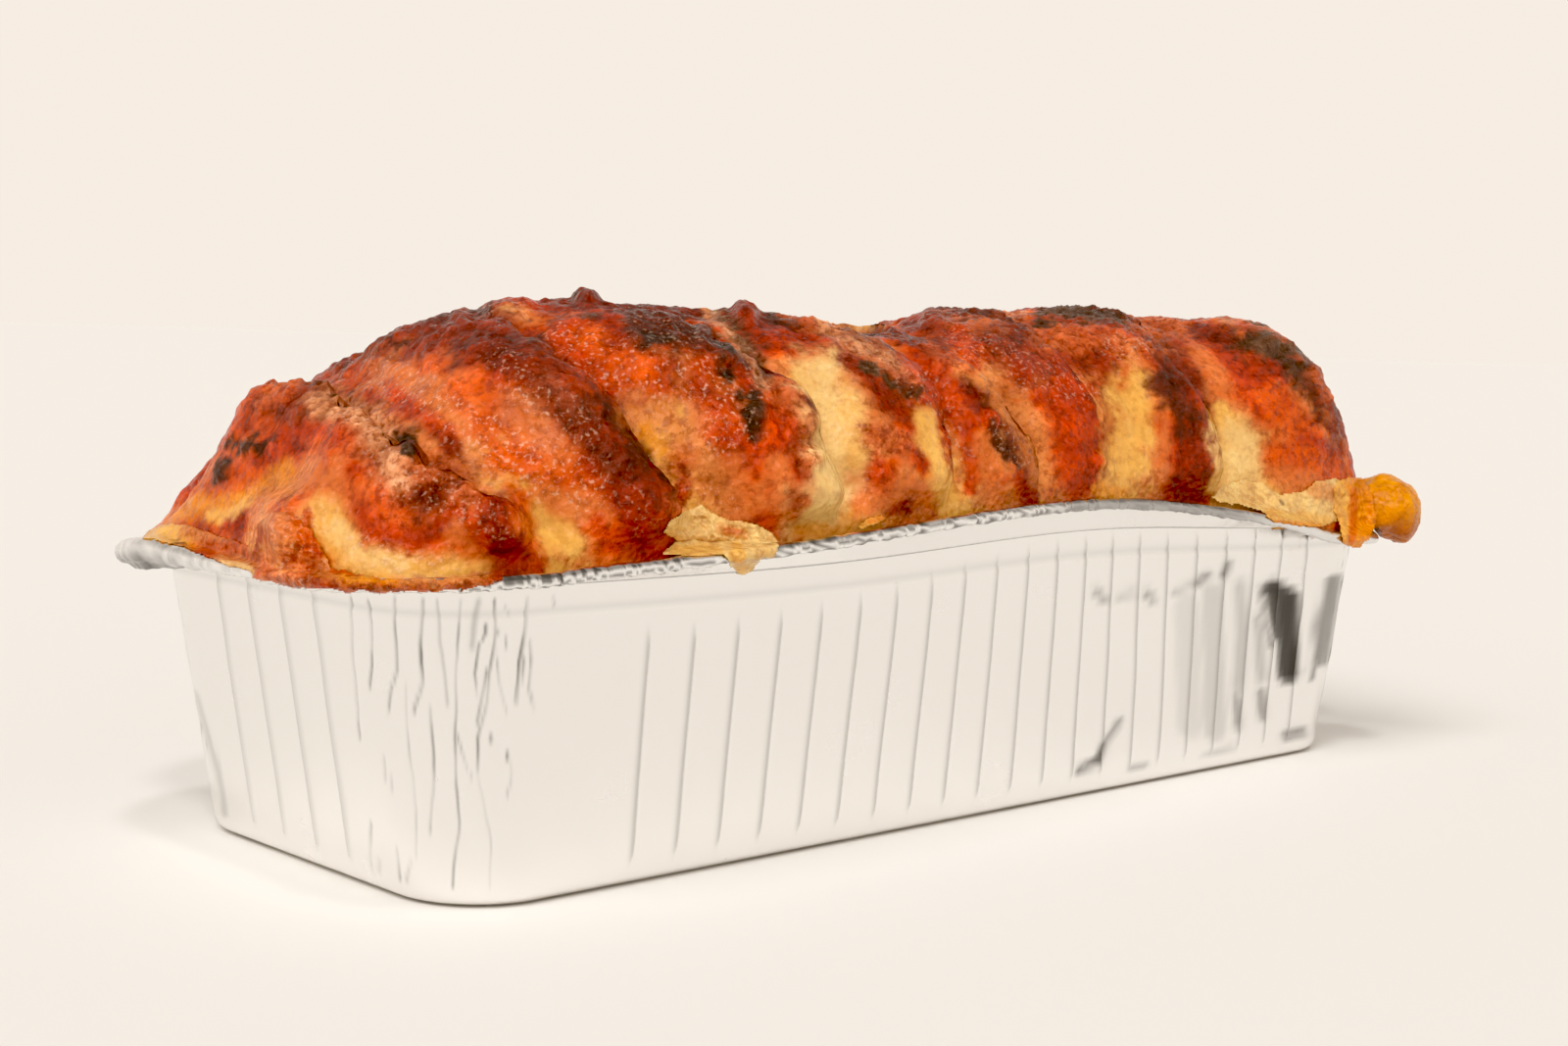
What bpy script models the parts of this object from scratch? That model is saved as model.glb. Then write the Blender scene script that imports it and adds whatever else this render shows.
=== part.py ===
"""A browned meatloaf in the long aluminium foil tray it was baked in, with the melted cheese on its rim.

X runs along the tray, Y across it and Z up. The tray stands on Z = 0, centred on the origin. Its left
short end is at -X and its front long side at -Y.
"""

import itertools
import math

import bmesh
import bpy
import numpy as np
from mathutils import Vector
from mathutils.bvhtree import BVHTree

# Foil tray: half sizes of its flat base and of its wall top, with their corner radii.
BASE_HALF_LENGTH = 0.1552
BASE_HALF_WIDTH = 0.0546
BASE_CORNER = 0.0209
TOP_HALF_LENGTH = 0.1662
TOP_HALF_WIDTH = 0.0586
TOP_CORNER = 0.0233
WALL_HEIGHT = 0.065
FOIL = 0.0007

# Pressed ribs in the walls.
RIB_PITCH = 0.01192
RIB_FIRST_LONG = -0.11185
RIB_COUNT_LONG = 21
RIB_FIRST_END = -0.0166
RIB_COUNT_END = 5
RIB_HALF_WIDTH = 0.0016
RIB_DEPTH = 0.0009
RIB_LOW = 0.009
RIB_HIGH = 0.055
CORNER_STEPS = 6

# Rim: a flat flange with a rolled edge, tipped up in the middle of the front and bent down at the ends.
FLANGE = 0.0090
FLANGE_FRONT = 0.0068
CURL = 0.0012
TIP_ANGLE = math.radians(86)
TIP_X = 0.028
TIP_REACH_LEFT = 0.162
TIP_REACH_RIGHT = 0.077
DROOP_ANGLE = math.radians(28)
DROOP_FROM = 0.095
DROOP_TO = 0.140
END_ANGLE = math.radians(8)
BACK_ANGLE = math.radians(16)
CORNER_DROOP = math.radians(30)
ARCH = 0.0035
ARCH_REACH = 0.070

# The front wall is pushed out on its left and in on its right.
BULGE = 0.0035
BULGE_X = -0.065
BULGE_REACH = 0.055
DENT = 0.0035
DENT_X = 0.062
DENT_REACH = 0.040

# Loaf.
GAP = 0.0005
LIP = 0.0040
LIP_LEFT = 0.0088
LIP_LEFT_X = -0.125
LIP_EDGE = 0.0012
DOME_TOP = 0.1195
DOME_TOP_RIGHT = 0.1230
DOME_POWER = 2.3
DOME_POWER_RIGHT = 3.0
LEFT_RISE = 0.075
RIGHT_RISE = 0.027
RIGHT_POWER = 2.2
ROWS = 31
FOLD_STEPS = (0.0, 0.10, 0.26, 0.46, 0.66, 0.83, 0.94, 1.0)
UNDERCUT = 0.0010

# Rows where a fold's edge is given: -1 is the front rim, 0 the crest, 1 the back rim.
EDGE_ROWS = (-0.95, -0.80, -0.60, -0.45, -0.30, 0.0, 0.35, 0.65, 0.95)


class Fold:
    """One overlapping fold of the loaf.

    edge is the line of its right edge. height is how far the fold stands out before that edge, and depth
    how far the next fold starts below it, each in front, on top and at the back. recover is the share of
    the next fold over which that depth is made up.
    """

    def __init__(self, edge, height, depth, recover=(0.0, 0.55)):
        self.edge = edge
        self.height = height
        self.depth = depth
        self.recover = recover


FOLDS = (
    Fold((-0.138, -0.143, -0.152, -0.155, -0.155, -0.149, -0.147, -0.145, -0.134),
         (0.0035, 0.0025, 0.0025), (0.0040, 0.0050, 0.0065), (0.20, 0.80)),
    Fold((-0.105, -0.108, -0.115, -0.119, -0.119, -0.118, -0.121, -0.121, -0.116),
         (0.0050, 0.0020, 0.0010), (0.0055, 0.0012, 0.0040)),
    Fold((-0.060, -0.061, -0.066, -0.073, -0.076, -0.088, -0.096, -0.100, -0.099),
         (0.0045, 0.0015, 0.0035), (0.0055, 0.0030, 0.0045)),
    Fold((-0.024, -0.021, -0.017, -0.019, -0.028, -0.052, -0.062, -0.068, -0.066),
         (0.0035, 0.0020, 0.0035), (0.0040, 0.0010, 0.0040)),
    Fold((0.012, 0.011, 0.006, -0.003, -0.006, 0.010, 0.018, 0.024, 0.026),
         (0.0040, -0.0045, -0.0030), (0.0045, -0.0010, 0.0010)),
    Fold((0.044, 0.044, 0.043, 0.042, 0.042, 0.054, 0.058, 0.062, 0.062),
         (0.0005, 0.0010, 0.0030), (0.0005, 0.0008, 0.0035)),
    Fold((0.084, 0.087, 0.086, 0.083, 0.090, 0.111, 0.108, 0.104, 0.102),
         (0.0050, 0.0020, 0.0035), (0.0055, 0.0012, 0.0045)),
)

# Single lumps on the loaf: x, row, height, radius.
LUMPS = (
    (-0.112, 0.02, 0.0022, 0.009),
    (-0.083, -0.03, 0.0030, 0.008),
    (-0.057, -0.10, 0.0020, 0.006),
    (-0.064, -0.62, 0.0030, 0.008),
    (-0.145, -0.76, 0.0035, 0.009),
    (-0.146, -0.30, 0.0025, 0.010),
    (0.030, -0.05, 0.0015, 0.012),
    (0.135, -0.30, 0.0020, 0.012),
    (0.062, 0.55, 0.0025, 0.012),
    (-0.030, 0.60, 0.0025, 0.010),
    (0.140, 0.50, 0.0020, 0.012),
    (-0.167, -0.24, 0.0045, 0.008),
)


# Melted cheese: how far its back is laid from what carries it, how much of that is always kept clear,
# the half window that its back is fitted in and how often that fit is evened out.
CLEARANCE = 0.0009
ROOM = 0.0006
WINDOW = 0.0020
SETTLE = 6
FLAP = {"span": (-0.104, -0.074), "top": 0.0815, "slope": -0.0030, "ragged": 0.0008, "phase": 0.5,
        "drop": 0.0045, "taper": 0.0010, "drips": ((0.58, 0.14, 0.0070),), "thickness": 0.0016, "grid": (17, 7),
        "colour": (0.85, 0.62, 0.28)}
SPILL = {"span": (0.100, 0.153), "top": 0.0770, "slope": -0.0060, "ragged": 0.0007, "phase": 2.0,
         "drop": 0.0055, "taper": 0.0020, "drips": ((0.45, 0.13, 0.0030), (0.80, 0.12, 0.0035)), "thickness": 0.0020,
         "grid": (17, 6), "colour": (0.85, 0.66, 0.30)}
LUMP_PLACE = (0.1665, -0.0573, 0.0690)
LUMP_SIZE = (0.0125, 0.0110, 0.0105)
LUMP_TURN = 47.0


def smoothstep(low, high, value):
    """0 below low, 1 above high and a smooth ramp between."""
    t = np.clip((value - low) / (high - low), 0.0, 1.0)
    return t * t * (3.0 - 2.0 * t)


def handled(x, y, z):
    """Push the straight tray, and all in it, into its handled shape."""
    rise = np.clip(z / WALL_HEIGHT, 0.0, 1.0)
    front = np.clip(-y / TOP_HALF_WIDTH, 0.0, 1.0)
    push = BULGE * np.exp(-((x - BULGE_X) / BULGE_REACH) ** 2)
    push = push - DENT * np.exp(-((x - DENT_X) / DENT_REACH) ** 2)
    return x, y - push * rise * front, z


def front_share(y):
    """1 along the front of the rim, 0 along its ends and back."""
    return smoothstep(0.028, 0.056, -y)


def flange_width(y):
    """Width of the flange, less where its front is creased."""
    return FLANGE + (FLANGE_FRONT - FLANGE) * front_share(y)


def wall_top(x, y):
    """Height of the wall, which is drawn up in the middle of the front."""
    return WALL_HEIGHT + ARCH * np.exp(-((x - TIP_X) / ARCH_REACH) ** 2) * front_share(y)


def flange_angle(x, y):
    """How far the flange is tipped above the horizontal at a place on the rim."""
    reach = np.where(x < TIP_X, TIP_REACH_LEFT, TIP_REACH_RIGHT)
    front_angle = TIP_ANGLE * np.exp(-((x - TIP_X) / reach) ** 2)
    front_angle = front_angle - DROOP_ANGLE * smoothstep(DROOP_FROM, DROOP_TO, x)
    back_angle = BACK_ANGLE * (0.6 + 0.4 * np.sin(x / 0.035))
    back_angle = back_angle - CORNER_DROOP * (1.0 - smoothstep(-0.160, -0.120, x))
    front = front_share(y)
    back = front_share(-y)
    return END_ANGLE * (1.0 - front - back) + front_angle * front + back_angle * back


def level_sizes(z):
    """Half length, half width and corner radius of the tray's outside at height z."""
    t = np.clip(z / WALL_HEIGHT, 0.0, 1.0)
    half_length = BASE_HALF_LENGTH + (TOP_HALF_LENGTH - BASE_HALF_LENGTH) * t
    half_width = BASE_HALF_WIDTH + (TOP_HALF_WIDTH - BASE_HALF_WIDTH) * t
    return half_length, half_width, BASE_CORNER + (TOP_CORNER - BASE_CORNER) * t


def rib_stops(first, count, limit):
    """Places along one wall: both feet and the peak of each rib, and the wall's two ends."""
    stops = [(-limit, 0.0)]
    for number in range(count):
        centre = first + number * RIB_PITCH
        stops += [(centre - RIB_HALF_WIDTH, 0.0), (centre, 1.0), (centre + RIB_HALF_WIDTH, 0.0)]
    stops.append((limit, 0.0))
    return stops


def tray_stations():
    """Walk once round the tray: (side, place along it, rib height), anticlockwise from the front left."""
    long_stops = rib_stops(RIB_FIRST_LONG, RIB_COUNT_LONG, BASE_HALF_LENGTH - BASE_CORNER)
    end_stops = rib_stops(RIB_FIRST_END, RIB_COUNT_END, BASE_HALF_WIDTH - BASE_CORNER)
    arc = [(step / CORNER_STEPS, 0.0) for step in range(1, CORNER_STEPS)]
    stations = [("front", place, rib) for place, rib in long_stops]
    stations += [("corner", -0.5 + 0.5 * place, rib) for place, rib in arc]
    stations += [("right", place, rib) for place, rib in end_stops]
    stations += [("corner", 0.5 * place, rib) for place, rib in arc]
    stations += [("back", place, rib) for place, rib in reversed(long_stops)]
    stations += [("corner", 0.5 + 0.5 * place, rib) for place, rib in arc]
    stations += [("left", place, rib) for place, rib in reversed(end_stops)]
    stations += [("corner", 1.0 + 0.5 * place, rib) for place, rib in arc]
    return stations


def station_point(station, z):
    """Plan point and outward direction of a station on the tray's outside at height z."""
    side, place, _ = station
    half_length, half_width, corner = level_sizes(z)
    if side == "front":
        return (place, -half_width), (0.0, -1.0)
    if side == "back":
        return (place, half_width), (0.0, 1.0)
    if side == "right":
        return (half_length, place), (1.0, 0.0)
    if side == "left":
        return (-half_length, place), (-1.0, 0.0)
    angle = math.pi * place
    out = (math.cos(angle), math.sin(angle))
    centre_x = math.copysign(half_length - corner, out[0])
    centre_y = math.copysign(half_width - corner, out[1])
    return (centre_x + corner * out[0], centre_y + corner * out[1]), out


def wall_ring(stations, z, rib, inset):
    """One ring round the wall at height z, with the ribs raised by a share of their depth."""
    ring = []
    for station in stations:
        (x, y), out = station_point(station, z)
        offset = station[2] * rib * RIB_DEPTH - inset
        place = handled(x + out[0] * offset, y + out[1] * offset, z)
        ring.append((place[0], place[1], float(wall_top(x, y)) if z == WALL_HEIGHT else z))
    return ring


def rim_ring(stations, past, above):
    """One ring of the rim, at a distance past the tipped flange's edge and above its plane."""
    ring = []
    for station in stations:
        (x, y), out = station_point(station, WALL_HEIGHT)
        angle = float(flange_angle(x, y))
        along = float(flange_width(y)) + past
        reach = along * math.cos(angle) - above * math.sin(angle)
        z = float(wall_top(x, y)) + along * math.sin(angle) + above * math.cos(angle)
        place = handled(x + out[0] * reach, y + out[1] * reach, WALL_HEIGHT)
        ring.append((place[0], place[1], z))
    return ring


def new_object(name, mesh, colour, roughness, metallic, collection):
    """Wrap a mesh as a named object with its own material."""
    material = bpy.data.materials.new(name + "_finish")
    material.use_nodes = True
    surface = material.node_tree.nodes["Principled BSDF"]
    surface.inputs["Base Color"].default_value = (*colour, 1.0)
    surface.inputs["Roughness"].default_value = roughness
    surface.inputs["Metallic"].default_value = metallic
    mesh.materials.append(material)
    mesh.shade_smooth()
    mesh.set_sharp_from_angle(angle=math.radians(40))
    obj = bpy.data.objects.new(name, mesh)
    collection.objects.link(obj)
    return obj


def close_band(work, lower, upper):
    """Join two closed rings of vertices with quads that face outwards."""
    count = len(lower)
    for number in range(count):
        after = (number + 1) % count
        work.faces.new((lower[number], lower[after], upper[after], upper[number]))


def make_tray(collection):
    """The foil tray: base, ribbed wall, flange and rolled edge as one open sheet, given its thickness."""
    stations = tray_stations()
    rings = [
        wall_ring(stations, 0.0, 0.0, 0.0035),
        wall_ring(stations, 0.0008, 0.0, 0.0010),
        wall_ring(stations, 0.0035, 0.0, 0.0),
        wall_ring(stations, RIB_LOW, 1.0, 0.0),
        wall_ring(stations, RIB_HIGH, 1.0, 0.0),
        wall_ring(stations, WALL_HEIGHT, 0.0, 0.0),
        rim_ring(stations, 0.0, 0.0),
        rim_ring(stations, CURL, -CURL),
        rim_ring(stations, 0.2 * CURL, -2.0 * CURL),
    ]
    work = bmesh.new()
    loops = [[work.verts.new(point) for point in ring] for ring in rings]
    work.faces.new(list(reversed(loops[0])))
    for lower, upper in zip(loops, loops[1:]):
        close_band(work, lower, upper)
    mesh = bpy.data.meshes.new("foil_tray")
    work.to_mesh(mesh)
    work.free()
    tray = new_object("foil_tray", mesh, (0.80, 0.78, 0.76), 0.28, 1.0, collection)
    shell = tray.modifiers.new("foil", "SOLIDIFY")
    shell.thickness = FOIL
    shell.offset = -1.0
    shell.use_even_offset = True
    return tray


def by_row(values, row):
    """A value given at the front, crest and back, at one row of the loaf."""
    front, crest, back = values
    return np.where(row < 0.0, crest + (front - crest) * smoothstep(0.05, 0.60, -row),
                    crest + (back - crest) * smoothstep(0.10, 0.70, row))


def fold_edge(fold, row):
    """X of a fold's right edge at a row."""
    return np.interp(row, EDGE_ROWS, fold.edge)


def end_reach(y, z):
    """How far the loaf's plan reaches along X at a distance y from its middle line."""
    half_length, half_width, corner = level_sizes(z)
    past = np.clip(np.abs(y) - (half_width - corner), 0.0, corner)
    return half_length - corner + np.sqrt(np.maximum(corner ** 2 - past ** 2, 0.0))


def lip_reach(x, y):
    """How far the loaf stands out over the rim: over a flat flange, but inside one that is tipped up."""
    angle = flange_angle(x, y)
    flat = 1.0 - smoothstep(math.radians(12), math.radians(30), angle)
    uneven = 0.80 + 0.20 * np.sin(x / 0.011 + 1.3) * np.sin(y / 0.009 + 0.4)
    lip = LIP_LEFT + (LIP - LIP_LEFT) * smoothstep(LIP_LEFT_X, LIP_LEFT_X + 0.03, x + 0.5 * (y + TOP_HALF_WIDTH))
    return -(FOIL + 2.0 * GAP) + (lip * uneven + FOIL) * flat


def lip_underside(x, y):
    """Height of the loaf's underside where it lies on the flange."""
    angle = np.minimum(flange_angle(x, y), math.radians(30))
    return WALL_HEIGHT + FOIL + 3.0 * GAP + np.maximum(lip_reach(x, y), 0.0) * np.tan(angle)


def loaf_columns():
    """Every column of the loaf's top: a list of (fold before, fold after, step between their edges)."""
    last = len(FOLDS)
    columns = []
    for number in range(last + 1):
        for step in FOLD_STEPS:
            columns.append((number - 1, number if number < last else last, step))
    return columns


def loaf_grid():
    """Points of the loaf's top, one row for each column of the grid, and the fold relief on them."""
    rows = np.linspace(-1.0, 1.0, ROWS)
    across = np.sin(rows * math.pi / 2.0)
    y = across * TOP_HALF_WIDTH
    reach = end_reach(y, WALL_HEIGHT)
    columns = loaf_columns()
    x = np.zeros((len(columns), ROWS))
    relief = np.zeros_like(x)
    for index, (before, after, step) in enumerate(columns):
        left_end = before < 0
        right_end = after == len(FOLDS)
        start = -reach if left_end else fold_edge(FOLDS[before], rows) + UNDERCUT
        stop = reach if right_end else fold_edge(FOLDS[after], rows)
        spread = step
        if left_end:
            spread = 1.0 - math.cos(step * math.pi / 2.0)
        if right_end:
            spread = math.sin(step * math.pi / 2.0)
        x[index] = start + (stop - start) * spread
        if not left_end:
            recover = FOLDS[before].recover
            relief[index] -= by_row(FOLDS[before].depth, rows) * (1.0 - smoothstep(*recover, step))
        if not right_end:
            height = by_row(FOLDS[after].height, rows)
            relief[index] += height * smoothstep(0.05, 0.80, step) * (1.0 - 0.45 * smoothstep(0.86, 1.0, step))
    return x, np.broadcast_to(y, x.shape), np.broadcast_to(rows, x.shape), reach, relief


def dome_height(x, y, rows, reach):
    """Height of the plain dome, before its folds."""
    top = DOME_TOP + (DOME_TOP_RIGHT - DOME_TOP) * smoothstep(0.010, 0.060, x)
    from_left = np.clip((x + reach) / LEFT_RISE, 0.0, 1.0)
    from_right = np.clip((reach - x) / RIGHT_RISE, 0.0, 1.0)
    left = np.sqrt(1.0 - (1.0 - from_left) ** 2)
    right = (1.0 - (1.0 - from_right) ** RIGHT_POWER) ** (1.0 / RIGHT_POWER)
    ends = left * right
    across = np.abs(np.sin(rows * math.pi / 2.0))
    base = lip_underside(x, y) + LIP_EDGE
    power = DOME_POWER + (DOME_POWER_RIGHT - DOME_POWER) * smoothstep(0.080, 0.150, x)
    arch = np.maximum(1.0 - across ** power, 0.0) ** (1.0 / power)
    return base + (top - base) * arch * ends


def grid_normals(points):
    """Unit normals of a grid of points, facing up and out."""
    along = np.gradient(points, axis=0)
    across = np.gradient(points, axis=1)
    normals = np.cross(along, across)
    length = np.linalg.norm(normals, axis=2, keepdims=True)
    return normals / np.maximum(length, 1e-12)


def lump_relief(x, rows):
    """Single lumps and a low unevenness over the whole top."""
    relief = 0.0005 * np.sin(x / 0.0070 + 2.1 * rows) * np.sin(7.0 * rows + x / 0.019)
    relief = relief + 0.0004 * np.sin(x / 0.0043 - 9.0 * rows)
    around = 0.085
    for lump_x, lump_row, height, radius in LUMPS:
        distance = (x - lump_x) ** 2 + ((rows - lump_row) * around) ** 2
        relief = relief + height * np.exp(-distance / radius ** 2)
    return relief


def make_loaf(collection):
    """The loaf: its folded top, a lip over the flange and the body that fills the tray."""
    x, y, rows, reach, folds = loaf_grid()
    z = dome_height(x, y, rows, reach)
    rim_top = wall_top(x, y) + (flange_width(y) + CURL) * np.maximum(np.sin(flange_angle(x, y)), 0.0)
    fade = smoothstep(0.001, 0.010, z - rim_top)
    points = np.stack([x, y, z], axis=2)
    normals = grid_normals(points)
    relief = (folds + lump_relief(x, rows)) * fade
    points = points + normals * relief[..., None]
    px, py, pz = points[..., 0], points[..., 1], points[..., 2]

    # Plan direction away from the tray's middle line, for the lip.
    core_x = np.clip(px, -(TOP_HALF_LENGTH - TOP_HALF_WIDTH), TOP_HALF_LENGTH - TOP_HALF_WIDTH)
    away = np.stack([(px - core_x) / TOP_HALF_WIDTH, py / TOP_HALF_WIDTH], axis=2)
    low = 1.0 - smoothstep(WALL_HEIGHT, WALL_HEIGHT + 0.022, pz)
    length = np.linalg.norm(away, axis=2)
    lip = lip_reach(px, py) * low
    near_wall = smoothstep(0.75, 1.0, length)
    shift = (lip * near_wall / np.maximum(length, 1e-6))[..., None] * away
    px = px + shift[..., 0]
    py = py + shift[..., 1]
    px, py, pz = handled(px, py, pz)

    work = bmesh.new()
    count = px.shape[0]
    verts = [[work.verts.new((px[i, j], py[i, j], pz[i, j])) for j in range(ROWS)] for i in range(count)]
    for i in range(count - 1):
        for j in range(ROWS - 1):
            work.faces.new((verts[i][j], verts[i + 1][j], verts[i + 1][j + 1], verts[i][j + 1]))
    edge = [verts[i][0] for i in range(count)]
    edge += [verts[-1][j] for j in range(1, ROWS)]
    edge += [verts[i][-1] for i in range(count - 2, -1, -1)]
    edge += [verts[0][j] for j in range(ROWS - 2, 0, -1)]
    ring_x = np.concatenate([x[:, 0], x[-1, 1:], x[-2::-1, -1], x[0, -2:0:-1]])
    ring_y = np.concatenate([y[:, 0], y[-1, 1:], y[-2::-1, -1], y[0, -2:0:-1]])
    upper = edge
    for z_level, offset in body_levels():
        ring = body_ring(ring_x, ring_y, z_level, offset)
        lower = [work.verts.new(point) for point in ring]
        close_band(work, lower, upper)
        upper = lower
    work.faces.new(list(reversed(upper)))
    mesh = bpy.data.meshes.new("loaf")
    work.to_mesh(mesh)
    work.free()
    return new_object("loaf", mesh, (0.50, 0.14, 0.05), 0.35, 0.0, collection)


def body_levels():
    """Rings below the folded top: (height, or None for the lip's underside, inset from the tray)."""
    inside = FOIL + GAP
    return (("lip", GAP), ("seat", FOIL + 2.0 * GAP), (0.050, inside), (0.0045, inside), (FOIL + GAP, 0.0045))


def body_ring(ring_x, ring_y, level, inset):
    """One ring of the loaf's body, from the plan of its top edge."""
    middle_x = np.clip(ring_x, -(TOP_HALF_LENGTH - TOP_CORNER), TOP_HALF_LENGTH - TOP_CORNER)
    middle_y = np.clip(ring_y, -(TOP_HALF_WIDTH - TOP_CORNER), TOP_HALF_WIDTH - TOP_CORNER)
    out = np.stack([ring_x - middle_x, ring_y - middle_y], axis=1)
    out = out / np.linalg.norm(out, axis=1, keepdims=True)
    if level == "lip":
        offset = lip_reach(ring_x, ring_y) - inset
        z = lip_underside(ring_x, ring_y)
        height = WALL_HEIGHT
    elif level == "seat":
        offset = np.full_like(ring_x, -inset)
        z = np.full_like(ring_x, WALL_HEIGHT + FOIL + 3.0 * GAP)
        height = WALL_HEIGHT
    else:
        offset = np.full_like(ring_x, -inset)
        z = np.full_like(ring_x, level)
        height = level
    top = level_sizes(WALL_HEIGHT)
    here = level_sizes(height)
    side = np.stack([middle_x * (here[0] - here[2]) / (top[0] - top[2]),
                     middle_y * (here[1] - here[2]) / (top[1] - top[2])], axis=1)
    plan = side + out * (here[2] + offset)[:, None]
    px, py, _ = handled(plan[:, 0], plan[:, 1], np.full_like(z, height))
    return list(zip(px, py, z))


def make_draped(name, collection, carriers, rooms, spec):
    """A thin piece of melted cheese that lies on the front of the loaf and hangs over the rim.

    Its back follows whatever it lies on, a little clear of it, and its lower edge runs down in drips.
    """
    trees = [search_tree(carrier) for carrier in carriers]
    across, down = spec["grid"]
    left, right = spec["span"]
    work = bmesh.new()
    loops = []
    for i in range(across):
        share = i / (across - 1)
        x = left + (right - left) * share
        edge = math.sin(math.pi * share) ** 0.6
        top = spec["top"] + spec["slope"] * share + spec["ragged"] * math.sin(17.0 * share + spec["phase"])
        low = top - (spec["drop"] * edge + 0.003)
        for drip_share, drip_width, drip_length in spec["drips"]:
            low -= drip_length * math.exp(-((share - drip_share) / drip_width) ** 2)
        top += spec["taper"] * (edge - 1.0)
        heights = [top + (low - top) * j / (down - 1) for j in range(down)]
        loops.append([[x, front_face(trees, x, z) - CLEARANCE, z] for z in heights])
    floor = [[point[1] for point in column] for column in loops]
    for _ in range(SETTLE):
        before = [[point[1] for point in column] for column in loops]
        for i, j in itertools.product(range(across), range(down)):
            beside = (max(i - 1, 0), j), (min(i + 1, across - 1), j), (i, max(j - 1, 0)), (i, min(j + 1, down - 1))
            loops[i][j][1] = min(sum(before[a][b] for a, b in beside) / 4.0, floor[i][j])
    loops = [[work.verts.new(point) for point in column] for column in loops]
    for i in range(across - 1):
        for j in range(down - 1):
            work.faces.new((loops[i][j], loops[i][j + 1], loops[i + 1][j + 1], loops[i + 1][j]))
    mesh = bpy.data.meshes.new(name)
    work.to_mesh(mesh)
    work.free()
    piece = new_object(name, mesh, spec["colour"], 0.35, 0.0, collection)
    shell = piece.modifiers.new("thickness", "SOLIDIFY")
    shell.thickness = spec["thickness"]
    shell.offset = 1.0
    cut_clear(piece, rooms)
    return piece


def search_tree(carrier):
    """A search tree of an object's finished faces."""
    return BVHTree.FromObject(carrier, bpy.context.evaluated_depsgraph_get())


def front_face(trees, x, z):
    """Y of the front-most face within a small window round a point of the front."""
    nearest = -0.040
    for step_x in (-WINDOW, 0.0, WINDOW):
        for step_z in (-WINDOW, 0.0, WINDOW):
            for tree in trees:
                hit = tree.ray_cast(Vector((x + step_x, -0.2, z + step_z)), Vector((0.0, 1.0, 0.0)))
                if hit[0] is not None:
                    nearest = min(nearest, hit[0].y)
    return nearest


def swollen_copy(carrier, swell, cutters):
    """A copy of an object's finished mesh, swollen along its normals, to cut other pieces with."""
    graph = bpy.context.evaluated_depsgraph_get()
    work = bmesh.new()
    work.from_object(carrier, graph)
    work.normal_update()
    for vert in work.verts:
        vert.co += vert.normal * swell
    mesh = bpy.data.meshes.new(carrier.name + "_room")
    work.to_mesh(mesh)
    work.free()
    room = bpy.data.objects.new(carrier.name + "_room", mesh)
    room.hide_render = True
    room.display_type = "WIRE"
    cutters.objects.link(room)
    return room


def cut_clear(piece, rooms):
    """Cut a piece back so that it stands clear of what carries it."""
    for room in rooms:
        cut = piece.modifiers.new("clear_of_" + room.name, "BOOLEAN")
        cut.operation = "DIFFERENCE"
        cut.object = room
    graph = bpy.context.evaluated_depsgraph_get()
    finished = bpy.data.meshes.new_from_object(piece.evaluated_get(graph))
    piece.modifiers.clear()
    piece.data = finished
    keep_largest(finished)


def keep_largest(mesh):
    """Drop the loose scraps that a cut leaves."""
    work = bmesh.new()
    work.from_mesh(mesh)
    unseen = set(work.verts)
    groups = []
    while unseen:
        group = [unseen.pop()]
        for vert in group:
            for edge in vert.link_edges:
                other = edge.other_vert(vert)
                if other in unseen:
                    unseen.remove(other)
                    group.append(other)
        groups.append(group)
    groups.sort(key=len)
    for group in groups[:-1]:
        bmesh.ops.delete(work, geom=group, context="VERTS")
    work.to_mesh(mesh)
    work.free()


def make_lump(collection, rooms):
    """The lump of cheese that hangs over the right front corner, in two blunt tips."""
    work = bmesh.new()
    bmesh.ops.create_icosphere(work, subdivisions=3, radius=1.0)
    turn = math.radians(LUMP_TURN)
    for vert in work.verts:
        along, out, up = vert.co
        tips = -0.25 * math.cos(2.0 * math.pi * out / 1.36)
        up = up * (1.0 + (tips if up < 0.0 else 0.1 * along))
        bump = 1.0 + 0.05 * math.sin(5.0 * along + 2.0) * math.sin(6.0 * out + 1.0)
        along, out, up = (value * bump for value in (along, out, up))
        along, out, up = along * LUMP_SIZE[0], out * LUMP_SIZE[1], up * LUMP_SIZE[2]
        vert.co = (LUMP_PLACE[0] + along * math.cos(turn) - out * math.sin(turn),
                   LUMP_PLACE[1] + along * math.sin(turn) + out * math.cos(turn),
                   LUMP_PLACE[2] + up)
    mesh = bpy.data.meshes.new("cheese_lump")
    work.to_mesh(mesh)
    work.free()
    lump = new_object("cheese_lump", mesh, (0.80, 0.38, 0.03), 0.35, 0.0, collection)
    cut_clear(lump, rooms)
    return lump


def clear_scene():
    """Remove what the file opens with."""
    for obj in list(bpy.data.objects):
        bpy.data.objects.remove(obj)


def main():
    clear_scene()
    collection = bpy.data.collections.new("meatloaf")
    bpy.context.scene.collection.children.link(collection)
    cutters = bpy.data.collections.new("cutters")
    bpy.context.scene.collection.children.link(cutters)
    tray = make_tray(collection)
    loaf = make_loaf(collection)
    rooms = [swollen_copy(carrier, ROOM, cutters) for carrier in (loaf, tray)]
    make_draped("cheese_flap", collection, (loaf, tray), rooms, FLAP)
    make_draped("cheese_spill", collection, (loaf, tray), rooms, SPILL)
    make_lump(collection, rooms)


main()
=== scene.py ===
# %% [markdown]
# # A browned loaf in its foil tray
# A long loaf of meat and cheese has risen out of the ribbed aluminium tray it was baked in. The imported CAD
# model gives its size and place. This lesson builds the finer skin over it: the folded crust, the creased
# foil, the cheese that ran over the rim, and the colours of the bake.

# %% Load the CAD frame
import itertools
import math

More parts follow.
